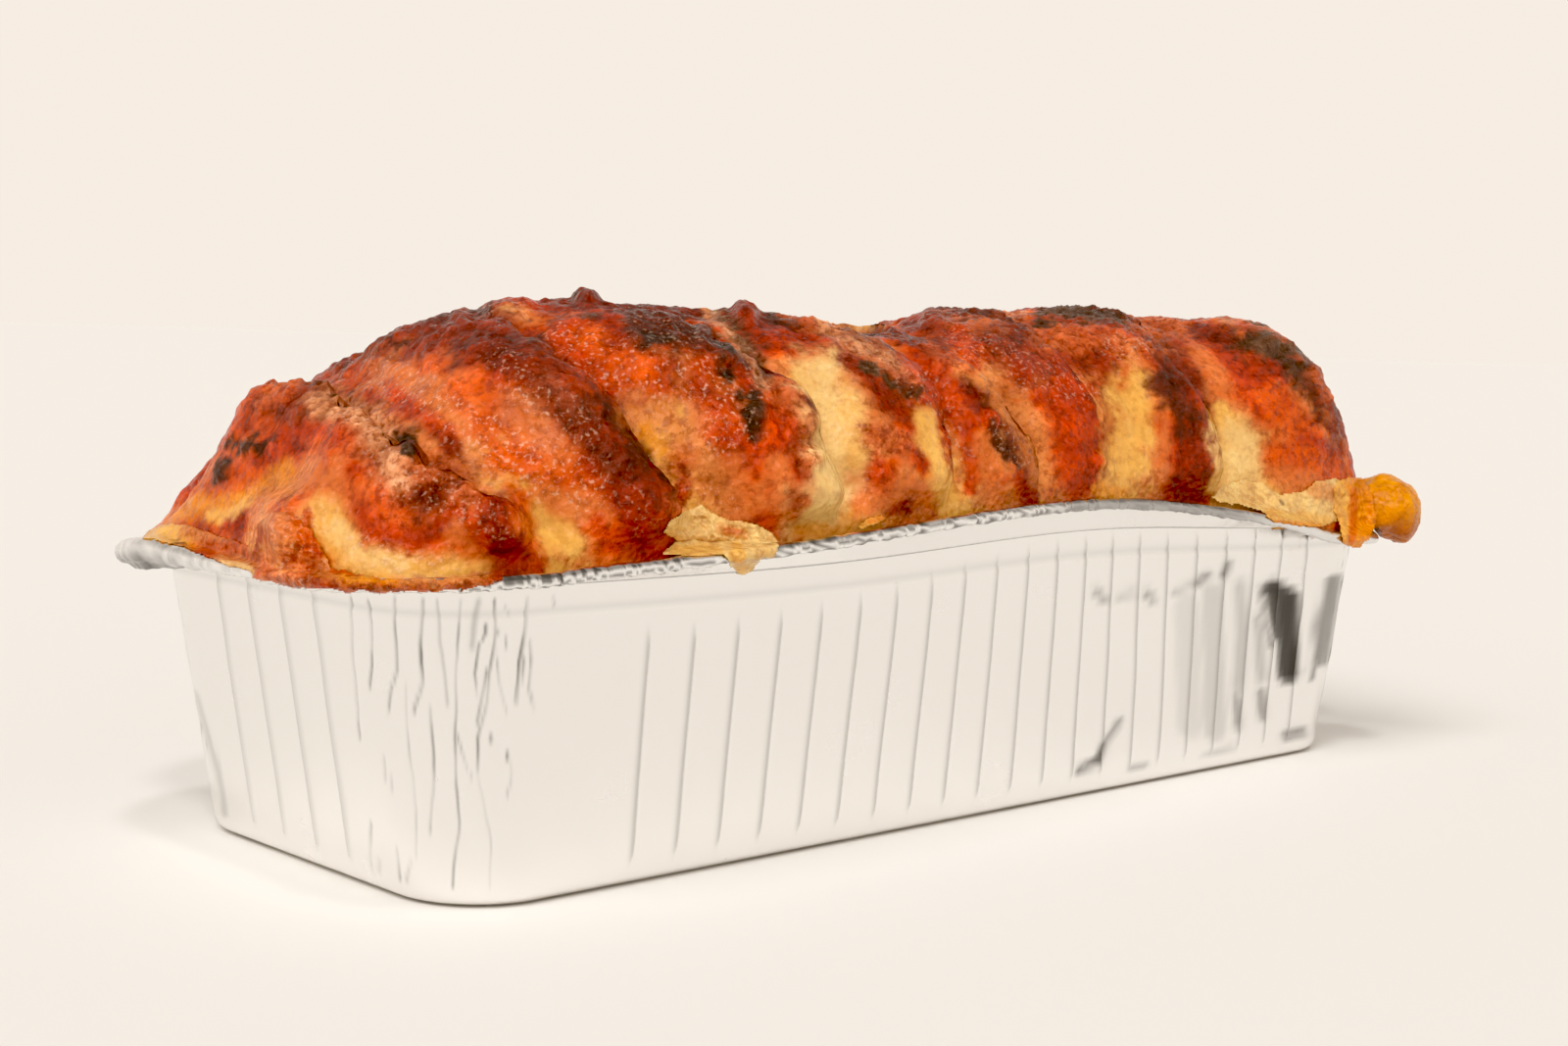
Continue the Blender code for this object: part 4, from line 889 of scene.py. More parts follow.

# %% [markdown]
# The near corner's pleats are drawn one by one, as lines in the picture, and so are the dents and the dark
# reflections near the far end. Each line is pressed into the foil as a narrow groove, and painted shade
# darkens it there, for foil that faces foil mirrors only itself. The far end's grey bands are painted
# shade, and its dark reflections are painted reflections.

# %% Lines in the foil, in pixels of the picture
# (how much painted shade, half width in pixels, how deep in mm, places along the line)
FOIL_LINES = (
    (0.35, 1.3, 0.25, ((357, 608), (359, 669), (364, 718), (368, 754))),
    (0.45, 1.4, 0.30, ((375, 611), (378, 652), (378, 681), (376, 703))),
    (0.45, 1.6, 0.30, ((402, 611), (403, 652), (404, 688), (398, 705), (395, 727))),
    (0.70, 1.8, 0.45, ((431, 612), (429, 657), (430, 696), (422, 727))),
    (0.55, 1.8, 0.40, ((446, 613), (449, 657), (454, 689), (456, 718))),
    (0.45, 1.4, 0.35, ((471, 613), (466, 657), (465, 705), (465, 754), (466, 802), (469, 839), (461, 907))),
    (0.30, 3.2, 0.30, ((489, 612), (483, 640), (481, 662))),
    (0.80, 2.0, 0.40, ((495, 638), (495, 647))),
    (0.75, 2.0, 0.30, ((506, 642), (508, 648))),
    (0.60, 1.4, 0.35, ((494, 650), (488, 659), (485, 686), (487, 705))),
    (0.55, 1.6, 0.40, ((505, 613), (505, 652), (500, 686), (498, 718), (488, 754), (488, 790))),
    (0.60, 1.8, 0.35, ((498, 684), (493, 710), (488, 735))),
    (0.35, 1.4, 0.25, ((507, 669), (510, 696), (517, 725))),
    (0.60, 1.9, 0.40, ((539, 613), (536, 642), (531, 676), (527, 718))),
    (0.30, 1.6, 0.25, ((541, 652), (544, 676), (541, 703), (546, 720))),
    (0.40, 1.4, 0.20, ((514, 616), (521, 629))),
    (0.40, 1.4, 0.20, ((516, 650), (517, 662))),
    (0.45, 1.6, 0.30, ((439, 718), (442, 766), (442, 802), (439, 851))),
    (0.35, 1.4, 0.25, ((468, 754), (478, 786), (485, 798))),
    (0.25, 1.3, 0.20, ((488, 793), (495, 827), (501, 863), (500, 909))),
    (0.40, 1.6, 0.20, ((501, 753), (507, 760))),
    (0.80, 1.9, 0.30, ((519, 766), (518, 775))),
    (0.25, 1.4, 0.20, ((522, 778), (523, 795), (517, 812))),
    (0.25, 1.3, 0.20, ((413, 696), (415, 742), (422, 802), (425, 827), (425, 873))),
    (0.35, 1.6, 0.20, ((392, 773), (393, 798))),
    (0.30, 1.6, 0.20, ((399, 788), (400, 805))),
    (0.25, 1.6, 0.20, ((379, 839), (379, 875), (381, 894))),
    (0.35, 1.6, 0.20, ((405, 865), (410, 907))),
    (0.25, 2.0, 0.20, ((388, 878), (387, 892))),
    (0.25, 2.0, 0.20, ((420, 880), (416, 896))),
    (0.45, 1.5, 0.20, ((536, 674), (534, 693))),
    (0.50, 1.5, 0.25, ((544, 669), (543, 681))),
    (0.50, 1.5, 0.25, ((530, 699), (529, 719))),
    (0.50, 1.5, 0.20, ((565, 611), (567, 618))),
    (0.25, 3.2, 0.20, ((200, 709), (211, 750), (220, 782), (229, 830))),
    # far end: a jagged fold, grey bands of painted shade, a painted dark reflection of the room, and dents at
    # the foot
    (0.45, 4.5, 0.50, ((1118, 602), (1126, 611))),
    (0.30, 4.0, 0.40, ((1142, 609), (1156, 605))),
    (0.50, 4.5, 0.50, ((1170, 605), (1178, 612))),
    (0.30, 4.0, 0.40, ((1200, 604), (1222, 595))),
    (0.60, 5.0, 0.50, ((1222, 594), (1232, 588))),
    (0.65, 4.5, 0.50, ((1248, 588), (1252, 576))),
    (0.30, 7.0, 0.40, ((1266, 597), (1268, 650), (1264, 700))),
    (0.45, 5.0, 0.40, ((1262, 712), (1264, 740))),
    (0.35, 6.0, 0.40, ((1284, 631), (1288, 690))),
    (0.50, 5.0, 0.40, ((1287, 705), (1289, 730))),
    (0.91, 12.0, 0.40, ((1313, 612), (1314, 650), (1315, 686))),
    (0.90, 12.0, 0.30, ((1299, 602), (1314, 610))),
    (0.86, 10.0, 0.30, ((1302, 610), (1306, 645))),
    (0.14, 14.0, 0.20, ((1212, 620), (1214, 740))),
    (0.22, 12.0, 0.20, ((1238, 606), (1240, 745))),
    (0.45, 3.5, 0.20, ((1286, 600), (1296, 660))),
    (0.62, 9.0, 0.40, ((1364, 594), (1356, 630), (1349, 672))),
    (0.72, 3.0, 0.40, ((1356, 590), (1347, 621), (1340, 690))),
    (0.70, 5.0, 0.40, ((1313, 751), (1330, 747))),
    (0.75, 4.5, 0.60, ((1102, 785), (1121, 776), (1127, 760))),
    (0.50, 4.0, 0.50, ((1127, 760), (1142, 735))),
    (0.40, 5.0, 0.30, ((1156, 785), (1168, 783))),
    (0.25, 4.0, 0.30, ((1229, 773), (1257, 762))),
)


def drawn_lines(points, out):
    """Painted shade and depth of the drawn lines at points of the foil."""
    across_px, down_px, _ = to_picture(points)
    facing = (points - CAMERA_PLACE)[:, 0] * out[:, 0] + (points - CAMERA_PLACE)[:, 1] * out[:, 1] < 0.0
    wander = fractal(points, 7.0, 2, seed=46)
    broken = 0.45 + 0.75 * smoothstep(-0.35, 0.45, hills(points, 8.0, seed=48))
    dark, deep = np.zeros(len(points)), np.zeros(len(points))
    for darkness, half, depth, places in FOIL_LINES:
        box = np.array(places)
        near = facing & (np.abs(across_px - box[:, 0].mean()) < np.ptp(box[:, 0]) / 2 + 4.0 * half + 4.0)
        near &= (down_px > box[:, 1].min() - 3.0 * half) & (down_px < box[:, 1].max() + 3.0 * half)
        if not near.any():
            continue
        apart = stroke_distance(across_px[near] + 1.2 * wander[near], down_px[near], places)
        profile = np.exp(-(apart / half) ** (6 if half > 8.0 else 2))
        strength = broken[near] if half < 3.0 else 1.0
        dark[near] = np.maximum(dark[near], darkness * profile * strength)
        deep[near] = np.maximum(deep[near], depth * profile)
    return dark, deep


# %% Foil creases
def wall_creases(plan, out, z):
    """How far the foil stands out at each station at height z: pleats at corners, soft dents elsewhere."""
    spots = np.stack([plan[:, 0], plan[:, 1], np.full(len(plan), z)], axis=1)
    corner = smoothstep(0.10, 0.60, np.abs(out[:, 0] * out[:, 1]) * 2.0)
    far_right = np.exp(-((plan[:, 0] - 128.0) / 22.0) ** 2) * (plan[:, 1] < 0.0)
    upright = spots * (1.0, 1.0, 0.16)
    wide = 0.45 * (0.30 - np.abs(hills(upright, 5.0, seed=41)))
    narrow = 0.25 * (0.30 - np.abs(hills(upright, 2.4, seed=42)))
    soft = 0.30 * fractal(spots, 34.0, 2, seed=43)
    crumple = 0.9 * (0.3 - np.abs(fractal(spots, 14.0, 3, seed=44)))
    pleats = 0.7 * (wide + narrow) * corner
    return soft + pleats + crumple * far_right * smoothstep(0.35, 0.85, z / WALL_HEIGHT)


def painted_pleat_shade(plan, out, z):
    """Painted shade along the sharp pleats of the other corners."""
    spots = np.stack([plan[:, 0], plan[:, 1], np.full(len(plan), z)], axis=1)
    corner = smoothstep(0.10, 0.60, np.abs(out[:, 0] * out[:, 1]) * 2.0)
    near_left = (plan[:, 0] < 0.0) & (plan[:, 1] < 0.0)
    lines = np.exp(-(hills(spots * (1.0, 1.0, 0.16), 5.0, seed=41) / 0.045) ** 2)
    broken = smoothstep(-0.1, 0.35, hills(spots, 12.0, seed=47))
    return 0.45 * lines * broken * corner * ~near_left * smoothstep(4.0, 20.0, z)


def rim_creases(plan, size, seed):
    """Uneven push along the rim."""
    spots = np.stack([plan[:, 0], plan[:, 1], np.zeros(len(plan))], axis=1)
    return fractal(spots, size, 3, seed=seed)


# %% Wall of the foil tray
def lifted(plan, z, height):
    """Handled points of a plan, at their own heights."""
    moved = handled(plan[:, 0], plan[:, 1], np.full(len(plan), z))
    return np.stack([moved[0], moved[1], height], axis=1)


wall_rings, wall_painted_shade = [], []
for z, inset in ((0.0, 3.5), (0.3, 1.9), (0.9, 0.9), (1.9, 0.25), (3.5, 0.0)):
    plan, out = station_ring(z)
    wall_rings.append(lifted(plan - out * inset, z, np.full(len(plan), z)))
    wall_painted_shade.append(np.ones(len(plan)))
for z in np.concatenate([np.linspace(5.0, 54.0, 27), np.linspace(55.2, WALL_HEIGHT, 9)]):
    plan, out = station_ring(z)
    on_end = np.abs(out[:, 0]) > 0.99
    rib_top = 53.0 + 9.0 * np.maximum(smoothstep(-110.0, 40.0, plan[:, 0]) * (plan[:, 1] < 0.0), on_end)
    rib_end = smoothstep(4.0, 8.0, z) * (1.0 - smoothstep(-3.0, 3.5, z - rib_top))
    height = z + (wall_top(plan[:, 0], plan[:, 1]) - WALL_HEIGHT) * smoothstep(50.0, WALL_HEIGHT, z)
    dark, deep = drawn_lines(lifted(plan, z, height), out)
    push = ribs_here * 0.75 * rib_end + wall_creases(plan, out, z) * smoothstep(2.0, 8.0, z) - deep
    crease = math.exp(-((z - 60.3) / 0.7) ** 2)
    push = (push - 0.35 * crease) * (1.0 - 0.8 * smoothstep(62.0, WALL_HEIGHT, z))
    wall_rings.append(lifted(plan + out * push[:, None], z, height))
    # Painted shade: the ribs, the pleats, the crease below the rim and the drawn lines darken the foil's
    # colour.
    rib_painted_shade = np.where(on_end, 0.20 * ribs_here, 0.34 * ribs_here ** 2)
    shade = 1.0 - rib_end * rib_painted_shade - painted_pleat_shade(plan, out, z) - 0.12 * crease
    wall_painted_shade.append(shade * (1.0 - dark))


def ring_faces(count):
    """Quads of a stack of closed rings."""
    quads = []
    for number in range(count - 1):
        lower = np.arange(STATION_COUNT) + number * STATION_COUNT
        quads += band_faces(lower, lower + STATION_COUNT)
    return quads


wall_points = np.concatenate(wall_rings)
wall_faces = [list(range(STATION_COUNT))[::-1]] + ring_faces(len(wall_rings))
foil_wall = make_mesh("foil_wall", wall_points, wall_faces, "foil_tray",
                      (("painted_foil_shade", np.repeat(np.concatenate(wall_painted_shade)[:, None], 3, axis=1)),))

# %% [markdown]
# The rim is a flange with its edge rolled under. Rolling gathers the foil into short creases across the
# bead, and painted shade broken along it makes the bead sparkle. At the left corner the roll has sprung
# open, and painted shade darkens the underside of its curl.

# %% Rim of the foil tray
FOIL = 0.25
CURL = 1.2
plan, out = station_ring(WALL_HEIGHT)
width = flange_width(plan[:, 1])
# Along the front the roll is crushed into short creases; round the ends and the back it is smoother.
crushed = smoothstep(-168.0, -152.0, plan[:, 0]) * (1.0 - smoothstep(82.0, 108.0, plan[:, 0]))
crushed = 0.25 + 0.75 * front_share(plan[:, 1]) * crushed
left_corner = np.exp(-((plan[:, 0] + 168.0) / 22.0) ** 2 - ((plan[:, 1] - 38.0) / 24.0) ** 2)
curl = (CURL + 0.27 * crushed * rim_creases(plan, 2.2, 53)) * (1.0 + 1.1 * left_corner)
sparkle = smoothstep(-0.35, 0.45, rim_creases(plan, 2.0, 54))
plain = front_share(plan[:, 1]) * smoothstep(5.0, 30.0, plan[:, 0])


def rim_ring(past, above, uneven):
    """One ring of the rim, past the wall's top and above the flange's plane; uneven scales its creases."""
    angle = flange_angle(plan[:, 0], plan[:, 1])
    crease = rim_creases(plan, 9.0, 51) * 0.35 + rim_creases(plan, 3.0, 52) * 0.22
    sprung = 2.2 * left_corner * smoothstep(0.80, 1.0, past / width)
    lift = above + crease * uneven * (1.0 - 0.7 * left_corner) + sprung
    reach_out = past * np.cos(angle) - lift * np.sin(angle)
    z = wall_top(plan[:, 0], plan[:, 1]) + past * np.sin(angle) + lift * np.cos(angle)
    return lifted(plan + out * reach_out[:, None], WALL_HEIGHT, z)


# Painted shade of the rim: darker at the wall's top ring, and in flickers along the crushed bead.
rim_rings, rim_painted_shade = [wall_rings[-1]], [np.full(STATION_COUNT, 0.80)]
for share in (0.10, 0.25, 0.45, 0.65, 0.82, 0.92, 1.0):
    rim_rings.append(rim_ring(width * share, np.zeros(len(plan)), 0.8 * smoothstep(0.0, 0.5, share)))
    rim_painted_shade.append(0.97 - crushed * (0.20 + 0.45 * sparkle) * smoothstep(0.80, 0.95, share))
for turn in np.radians((30, 60, 90, 120, 150, 180, 215, 250, 285)):
    past = width + curl * math.sin(turn)
    rim_rings.append(rim_ring(past, -curl * (1.0 - math.cos(turn)), 0.8))
    painted_flicker = smoothstep(0.2, 0.8, np.abs(sparkle - 0.5 * math.sin(3.0 * turn) - 0.2))
    painted_flicker += (0.75 - painted_flicker) * 0.85 * plain
    # Painted shade under the sprung curl at the left corner.
    under = 1.0 - 0.85 * left_corner * smoothstep(1.7, 2.4, turn) * (0.5 + 0.5 * sparkle)
    rim_painted_shade.append((1.0 - 0.75 * crushed * painted_flicker) * under)
rim_points = np.concatenate(rim_rings)
foil_rim = make_mesh("foil_rim", rim_points, ring_faces(len(rim_rings)), "foil_tray",
                     (("painted_foil_shade", np.repeat(np.concatenate(rim_painted_shade)[:, None], 3, axis=1)),))
shell = foil_rim.modifiers.new("foil", "SOLIDIFY")
shell.thickness = FOIL * MM
shell.offset = -1.0

# %% [markdown]
# The lump on the far corner hangs free, so it is shaped from the CAD piece itself: remeshed fine, smoothed
# and roughened.

# %% Cheese lump
def refined_copy(node, voxel_mm):
    """Points in mm, normals and faces of a CAD node, remeshed fine and smoothed."""
    obj = bpy.data.objects.new("refined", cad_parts[node].data.copy())
    bpy.context.scene.collection.objects.link(obj)
    remesh = obj.modifiers.new("voxels", "REMESH")
    remesh.mode = "VOXEL"
    remesh.voxel_size = voxel_mm * MM
    smooth = obj.modifiers.new("smooth", "SMOOTH")
    smooth.iterations = 12
    finished = bpy.data.meshes.new_from_object(obj.evaluated_get(bpy.context.evaluated_depsgraph_get()))
    bpy.data.objects.remove(obj)
    spots = np.zeros(len(finished.vertices) * 3)
    finished.vertices.foreach_get("co", spots)
    normals = np.zeros(len(finished.vertices) * 3)
    finished.vertices.foreach_get("normal", normals)
    spots, normals = spots.reshape(-1, 3) / MM, normals.reshape(-1, 3)
    return spots, normals, [list(face.vertices) for face in finished.polygons]


DEEP_YELLOW, BROWNED_BELOW = linear(230, 146, 8), linear(190, 100, 28)
spots, normals, lump_faces = refined_copy("cheese_lump", 0.6)
spots = spots + normals * (0.5 * fractal(spots, 5.0, 3, seed=130) - 0.3)[:, None]
under = np.clip(smoothstep(70.0, 62.0, spots[:, 2]) + 0.4 * hills(spots, 6.0, seed=131), 0.0, 1.0)
lump_colour = DEEP_YELLOW + (BROWNED_BELOW - DEEP_YELLOW) * under[:, None]
lump = make_mesh("cheese_lump_skin", spots, lump_faces, "cheese_lump",
                 (("bake", lump_colour), ("skin", np.tile((0.25, 0.6, 0.0), (len(spots), 1)))))

# %% [markdown]
# ## Cheese that ran over
# Cheese that melts and cools on a rim is a thin sheet with a rounded, torn edge. Each piece here is drawn
# as an outline in the picture. Rays through the outline find what the cheese lies on, that ground is
# evened out as melted cheese evens itself, and the sheet is raised from it, thick in the middle and
# rounded to nothing at its edge. The crust that hangs over the rim at the left end is made in the same
# way, with the loaf's own paint and relief.

# %% What lies along a ray
graph = bpy.context.evaluated_depsgraph_get()
ground_trees = [BVHTree.FromObject(piece, graph)
                for piece in (loaf_front, loaf_back, foil_wall, foil_rim, lump)]


def ground_depth(across_px, down_px):
    """Distance in mm along the camera's ray to whatever lies there, or nan."""
    ray = picture_ray(across_px, down_px)
    origin = Vector(CAMERA_PLACE * MM)
    found = [tree.ray_cast(origin, Vector(ray)) for tree in ground_trees]
    distances = [hit[3] for hit in found if hit[0] is not None]
    return min(distances) / MM if distances else math.nan


def neighbours(field, **padding):
    """The four neighbours of each cell of a grid."""
    padded = np.pad(field, 1, **padding)
    return padded[:-2, 1:-1], padded[2:, 1:-1], padded[1:-1, :-2], padded[1:-1, 2:]


def ground_under(px, py):
    """Distance to the ground over a grid of pixels. Past the ground's edge, it is the nearest ground's."""
    depth = np.array([ground_depth(*spot) for spot in zip(px.ravel(), py.ravel())]).reshape(px.shape)
    while np.isnan(depth).any():
        around = np.fmin.reduce(neighbours(depth, constant_values=math.nan))
        depth = np.where(np.isnan(depth), around, depth)
    return depth


def evened_under(ground, rounds):
    """The ground evened out as melted cheese evens itself, and never behind the ground."""
    depth = ground
    for _ in range(rounds):
        depth = np.minimum(sum(neighbours(depth, mode="edge")) / 4.0, ground)
    return depth


# %% Outline and shell of a sheet
def inside_outline(spots, outline):
    """True for spots inside a closed outline."""
    crossings = np.zeros(len(spots), dtype=int)
    for (x1, y1), (x2, y2) in zip(outline, outline[1:] + outline[:1]):
        if y1 == y2:
            continue
        spans = (spots[:, 1] > min(y1, y2)) & (spots[:, 1] <= max(y1, y2))
        meet = x1 + (spots[:, 1] - y1) * (x2 - x1) / (y2 - y1)
        crossings += spans & (meet > spots[:, 0])
    return crossings % 2 == 1


def sheet_shell(kept):
    """Front, back and edge faces over the kept spots of a grid, and which spots they use."""
    quad = kept[:-1, :-1] & kept[1:, :-1] & kept[1:, 1:] & kept[:-1, 1:]
    used = np.zeros_like(kept)
    for corner in (used[:-1, :-1], used[1:, :-1], used[1:, 1:], used[:-1, 1:]):
        corner |= quad
    count = int(used.sum())
    number = np.full(kept.shape, -1)
    number[used] = np.arange(count)
    faces, borders = [], {}
    for i, j in zip(*np.nonzero(quad)):
        ring = [int(number[spot]) for spot in ((i, j), (i, j + 1), (i + 1, j + 1), (i + 1, j))]
        faces.append(tuple(ring))
        faces.append(tuple(point + count for point in reversed(ring)))
        borders.update(dict.fromkeys(zip(ring, ring[1:] + ring[:1])))
    faces += [(second, first, first + count, second + count)
              for first, second in borders if (second, first) not in borders]
    return faces, used


# %% Colours of a sheet
def crust_coat(points, rays, rise):
    """Points of a hanging crust with its relief, and their colours, painted as the loaf's are."""
    level = np.full(len(points), 0.5)
    values = paint(points, 0.0 * level, level, -1.8 * level)
    relief = crust_relief(points, values[:, 3], -level) * rise * 0.8
    # Painted shade in the hollows of the hanging crust and painted light on its tips.
    values[:, :3] *= painted_relief_shade(relief, values[:, 3])
    return points - rays * relief[:, None], values


def cheese_coat(points, tint, accents, seed):
    """Colours of melted cheese: one tint, with strokes of others."""
    colours = np.tile(BAKE[tint][0], (len(points), 1))
    across_px, down_px, _ = to_picture(points)
    mottle = fractal(points, 5.0, 3, seed)
    for title, half, strength, places in accents:
        apart = stroke_distance(across_px, down_px, places) + half * 0.4 * mottle
        weight = strength * (1.0 - smoothstep(0.6 * half, 1.3 * half, apart))
        colours += (BAKE[title][0] - colours) * weight[:, None]
    return colours


# %% One sheet
SHEET_PITCH = 1.3
CHEESE_SKIN = (0.25, 0.7, 0.0)


def melted(name, outline, thickness, round_mm, node=None, tint=None,
           accents=(), rounds=40, rough=0.25, ragged=1.5, seed=60, lift=0.25):
    """A sheet of melted cheese, or of crust when it has no tint, inside an outline in the picture."""
    corners = np.array(outline, float)
    xs, ys = (np.arange(corners[:, side].min() - 4.0, corners[:, side].max() + 4.0, SHEET_PITCH)
              for side in (0, 1))
    px, py = np.meshgrid(xs, ys, indexing="ij")
    spots = np.stack([px.ravel(), py.ravel()], axis=1)
    noise_at = np.column_stack([spots / 4.0, np.full(len(spots), 3.0 * seed)])
    warp = np.stack([fractal(noise_at, 3.0, 3, seed), fractal(noise_at, 3.0, 3, seed + 1)], axis=1)
    warped = spots + ragged * warp
    depth = evened_under(ground_under(px, py), rounds)
    inward = stroke_distance(warped[:, 0], warped[:, 1], [*outline, outline[0]])
    rise = np.clip(inward * np.mean(depth) / FOCAL / round_mm, 0.0, 1.0).reshape(px.shape)
    dome = np.sqrt(1.0 - (1.0 - rise) ** 2)
    lumpy = 1.0 + rough * fractal(noise_at, 1.6, 3, seed + 3).reshape(px.shape)
    front = depth - lift - thickness * dome * lumpy
    faces, used = sheet_shell(inside_outline(warped, outline).reshape(px.shape))
    rays = np.array([picture_ray(*spot) for spot in zip(px[used], py[used])])
    front_points = CAMERA_PLACE + rays * front[used][:, None]
    back_points = CAMERA_PLACE + rays * (depth[used] - 0.5 * lift)[:, None]
    if tint is None:
        front_points, values = crust_coat(front_points, rays, rise[used])
        values = np.concatenate([values, values])
        colours, skin = values[:, :3], values[:, 3:]
    else:
        colours = cheese_coat(np.concatenate([front_points, back_points]), tint, accents, seed + 5)
        skin = np.tile(CHEESE_SKIN, (len(colours), 1))
    return make_mesh(name, np.concatenate([front_points, back_points]), faces, node,
                     (("bake", colours), ("skin", skin)))


# %% Cheese and crust over the rim
melted("cheese_flap_lower",
       [(674, 566), (688, 552), (712, 546), (744, 545), (780, 546), (796, 555), (792, 568), (776, 572),
        (770, 582), (757, 588), (744, 578), (738, 566), (700, 568)],
       1.2, 2.0, node="cheese_flap", tint="cream",
       accents=(("yellow", 7, 0.7, ((690, 562), (730, 562))), ("yellow", 7, 0.9, ((752, 558), (756, 578)))))
melted("cheese_flap_upper",
       [(676, 544), (684, 530), (700, 520), (716, 513), (726, 522), (744, 530), (766, 532), (788, 543),
        (795, 554), (770, 556), (738, 556), (712, 552), (690, 552)],
       1.7, 1.8, tint="cream", seed=70, rough=0.6, lift=0.6,
       accents=(("tan", 6, 0.5, ((735, 540), (760, 545))), ("flame", 3, 0.5, ((742, 541), (756, 543)))))
melted("cheese_flake", [(874, 536), (884, 528), (900, 524), (905, 528), (892, 536), (880, 540)], 0.9, 1.0,
       tint="yellow", accents=(("orange", 4, 0.5, ((888, 532), (898, 529))),), seed=80)
melted("cheese_spill_sheet",
       [(1234, 508), (1246, 495), (1270, 488), (1288, 492), (1307, 504), (1330, 500), (1342, 490),
        (1364, 488), (1376, 494), (1378, 512), (1374, 526), (1364, 533), (1349, 538), (1321, 537),
        (1300, 533), (1288, 523), (1268, 516), (1244, 513)],
       1.2, 2.4, node="cheese_spill", tint="cream", seed=90, rough=0.5,
       accents=(("yellow", 9, 0.8, ((1296, 528), (1350, 532))), ("gold", 3, 0.8, ((1300, 534), (1346, 537))),
                ("tan", 9, 0.6, ((1340, 497), (1376, 508))), ("scorch", 2, 0.7, ((1363, 518), (1364, 520))),
                ("scorch", 2, 0.6, ((1307, 511), (1309, 514)))))
melted("cheese_bridge",
       [(1362, 490), (1376, 486), (1392, 488), (1402, 504), (1406, 530), (1400, 548), (1386, 561),
        (1372, 557), (1368, 540), (1360, 520)],
       1.6, 2.6, tint="gold", seed=95, rough=0.6, lift=1.0,
       accents=(("yellow", 9, 0.9, ((1366, 492), (1367, 546))),
                ("orange", 4, 0.6, ((1382, 500), (1380, 550)))))
melted("crust_corner",
       [(144, 549), (152, 540), (168, 534), (190, 534), (220, 545), (262, 558), (268, 580), (262, 592),
        (252, 582), (232, 578), (217, 571), (200, 564), (185, 558), (166, 553)],
       1.2, 2.0, seed=120, rounds=14)
melted("crust_lobe",
       [(262, 534), (276, 520), (300, 524), (318, 540), (330, 560), (338, 580), (338, 601), (320, 601),
        (302, 602), (288, 598), (276, 594), (258, 592), (256, 574), (260, 552)],
       2.2, 3.2, seed=100, rounds=14)
melted("crust_edge",
       [(326, 578), (340, 577), (364, 585), (393, 588), (423, 589), (452, 588), (481, 588), (510, 584),
        (517, 589), (506, 596), (481, 601), (452, 603), (431, 604), (411, 603), (393, 607), (370, 604),
        (352, 606), (334, 602), (322, 600)],
       1.5, 1.4, seed=110, rounds=14, rough=0.8, ragged=3.0)

# %% [markdown]
# ## Finishes
# The crust is glossy with fat, and light sinks a little way into it. Its colour comes from the paint,
# broken by patches and by pale specks of painted highlight finer than the mesh's points. The foil is bare
# metal with a soft sheen; painted shade drawn with its creases stands for the room that it mirrors.

# %% Node tools
def new_material(name):
    """An empty node material with its Principled shader, and a function that adds nodes."""
    material = bpy.data.materials.new(name)
    material.use_nodes = True
    tree = material.node_tree
    shader = tree.nodes["Principled BSDF"]

    def add(kind, inputs=(), **settings):
        node = tree.nodes.new("ShaderNode" + kind)
        for title, value in settings.items():
            setattr(node, title, value)
        for socket, value in dict(inputs).items():
            if isinstance(value, bpy.types.NodeSocket):
                tree.links.new(value, node.inputs[socket])
            else:
                node.inputs[socket].default_value = value
        return node

    return material, shader, add, tree.links.new


def place_in_mm(add):
    """Object coordinates in mm."""
    place = add("TexCoord").outputs["Object"]
    return add("VectorMath", {0: place, 1: (1.0 / MM,) * 3}, operation="MULTIPLY").outputs[0]


def cloud(add, place, scale, detail, roughness=0.5):
    """A noise texture's value at each place."""
    noise = add("TexNoise", {"Vector": place, "Scale": scale, "Detail": detail, "Roughness": roughness})
    return noise.outputs["Fac"]


def carried(add, value, low, high, to_low, to_high):
    """A value carried from one range to another."""
    return add("MapRange", {0: value, 1: low, 2: high, 3: to_low, 4: to_high}).outputs[0]


def joined(add, operation, first, second):
    """Two values added or multiplied."""
    return add("Math", {0: first, 1: second}, operation=operation).outputs[0]


def mixed(add, colour, other, share, blend="MIX"):
    """A colour mixed with another, or multiplied by it, by a share."""
    mix = add("Mix", {6: colour, 7: other, 0: share}, data_type="RGBA", blend_type=blend)
    return mix.outputs[2]


# %% Crust finish
# Patches over the bake: scale of their noise, its detail, where they start and end, strength and tint.
MOTTLES = (
    (0.13, 5.0, 0.48, 0.62, 0.80, (0.55, 0.30, 0.18)),
    (0.45, 4.0, 0.48, 0.62, 0.85, (0.45, 0.24, 0.15)),
    (0.26, 4.0, 0.50, 0.62, 0.80, (1.45, 1.90, 2.30)),
)
# Colour of the pale specks of painted highlight.
PAINTED_HIGHLIGHT_COLOUR = (1.0, 0.62, 0.42, 1.0)


def crust_colour(add, place, crust, painted_highlight_share):
    """The painted bake, broken by patches where it is crusty and by pale specks of painted highlight."""
    colour = add("VertexColor", layer_name="bake").outputs["Color"]
    for scale, detail, low, high, strength, tint in MOTTLES:
        share = carried(add, cloud(add, place, scale, detail, 0.65), low, high, 0.0, strength)
        share = joined(add, "MULTIPLY", share, carried(add, crust, 0.0, 0.6, 0.12, 1.0))
        colour = mixed(add, colour, (*tint, 1.0), share, "MULTIPLY")
    # Pale specks of painted highlight, where the paint asks for them.
    painted_specks = carried(add, cloud(add, place, 0.95, 2.0), 0.56, 0.70, 0.0, 0.46)
    return mixed(add, colour, PAINTED_HIGHLIGHT_COLOUR, joined(add, "MULTIPLY", painted_specks, painted_highlight_share))


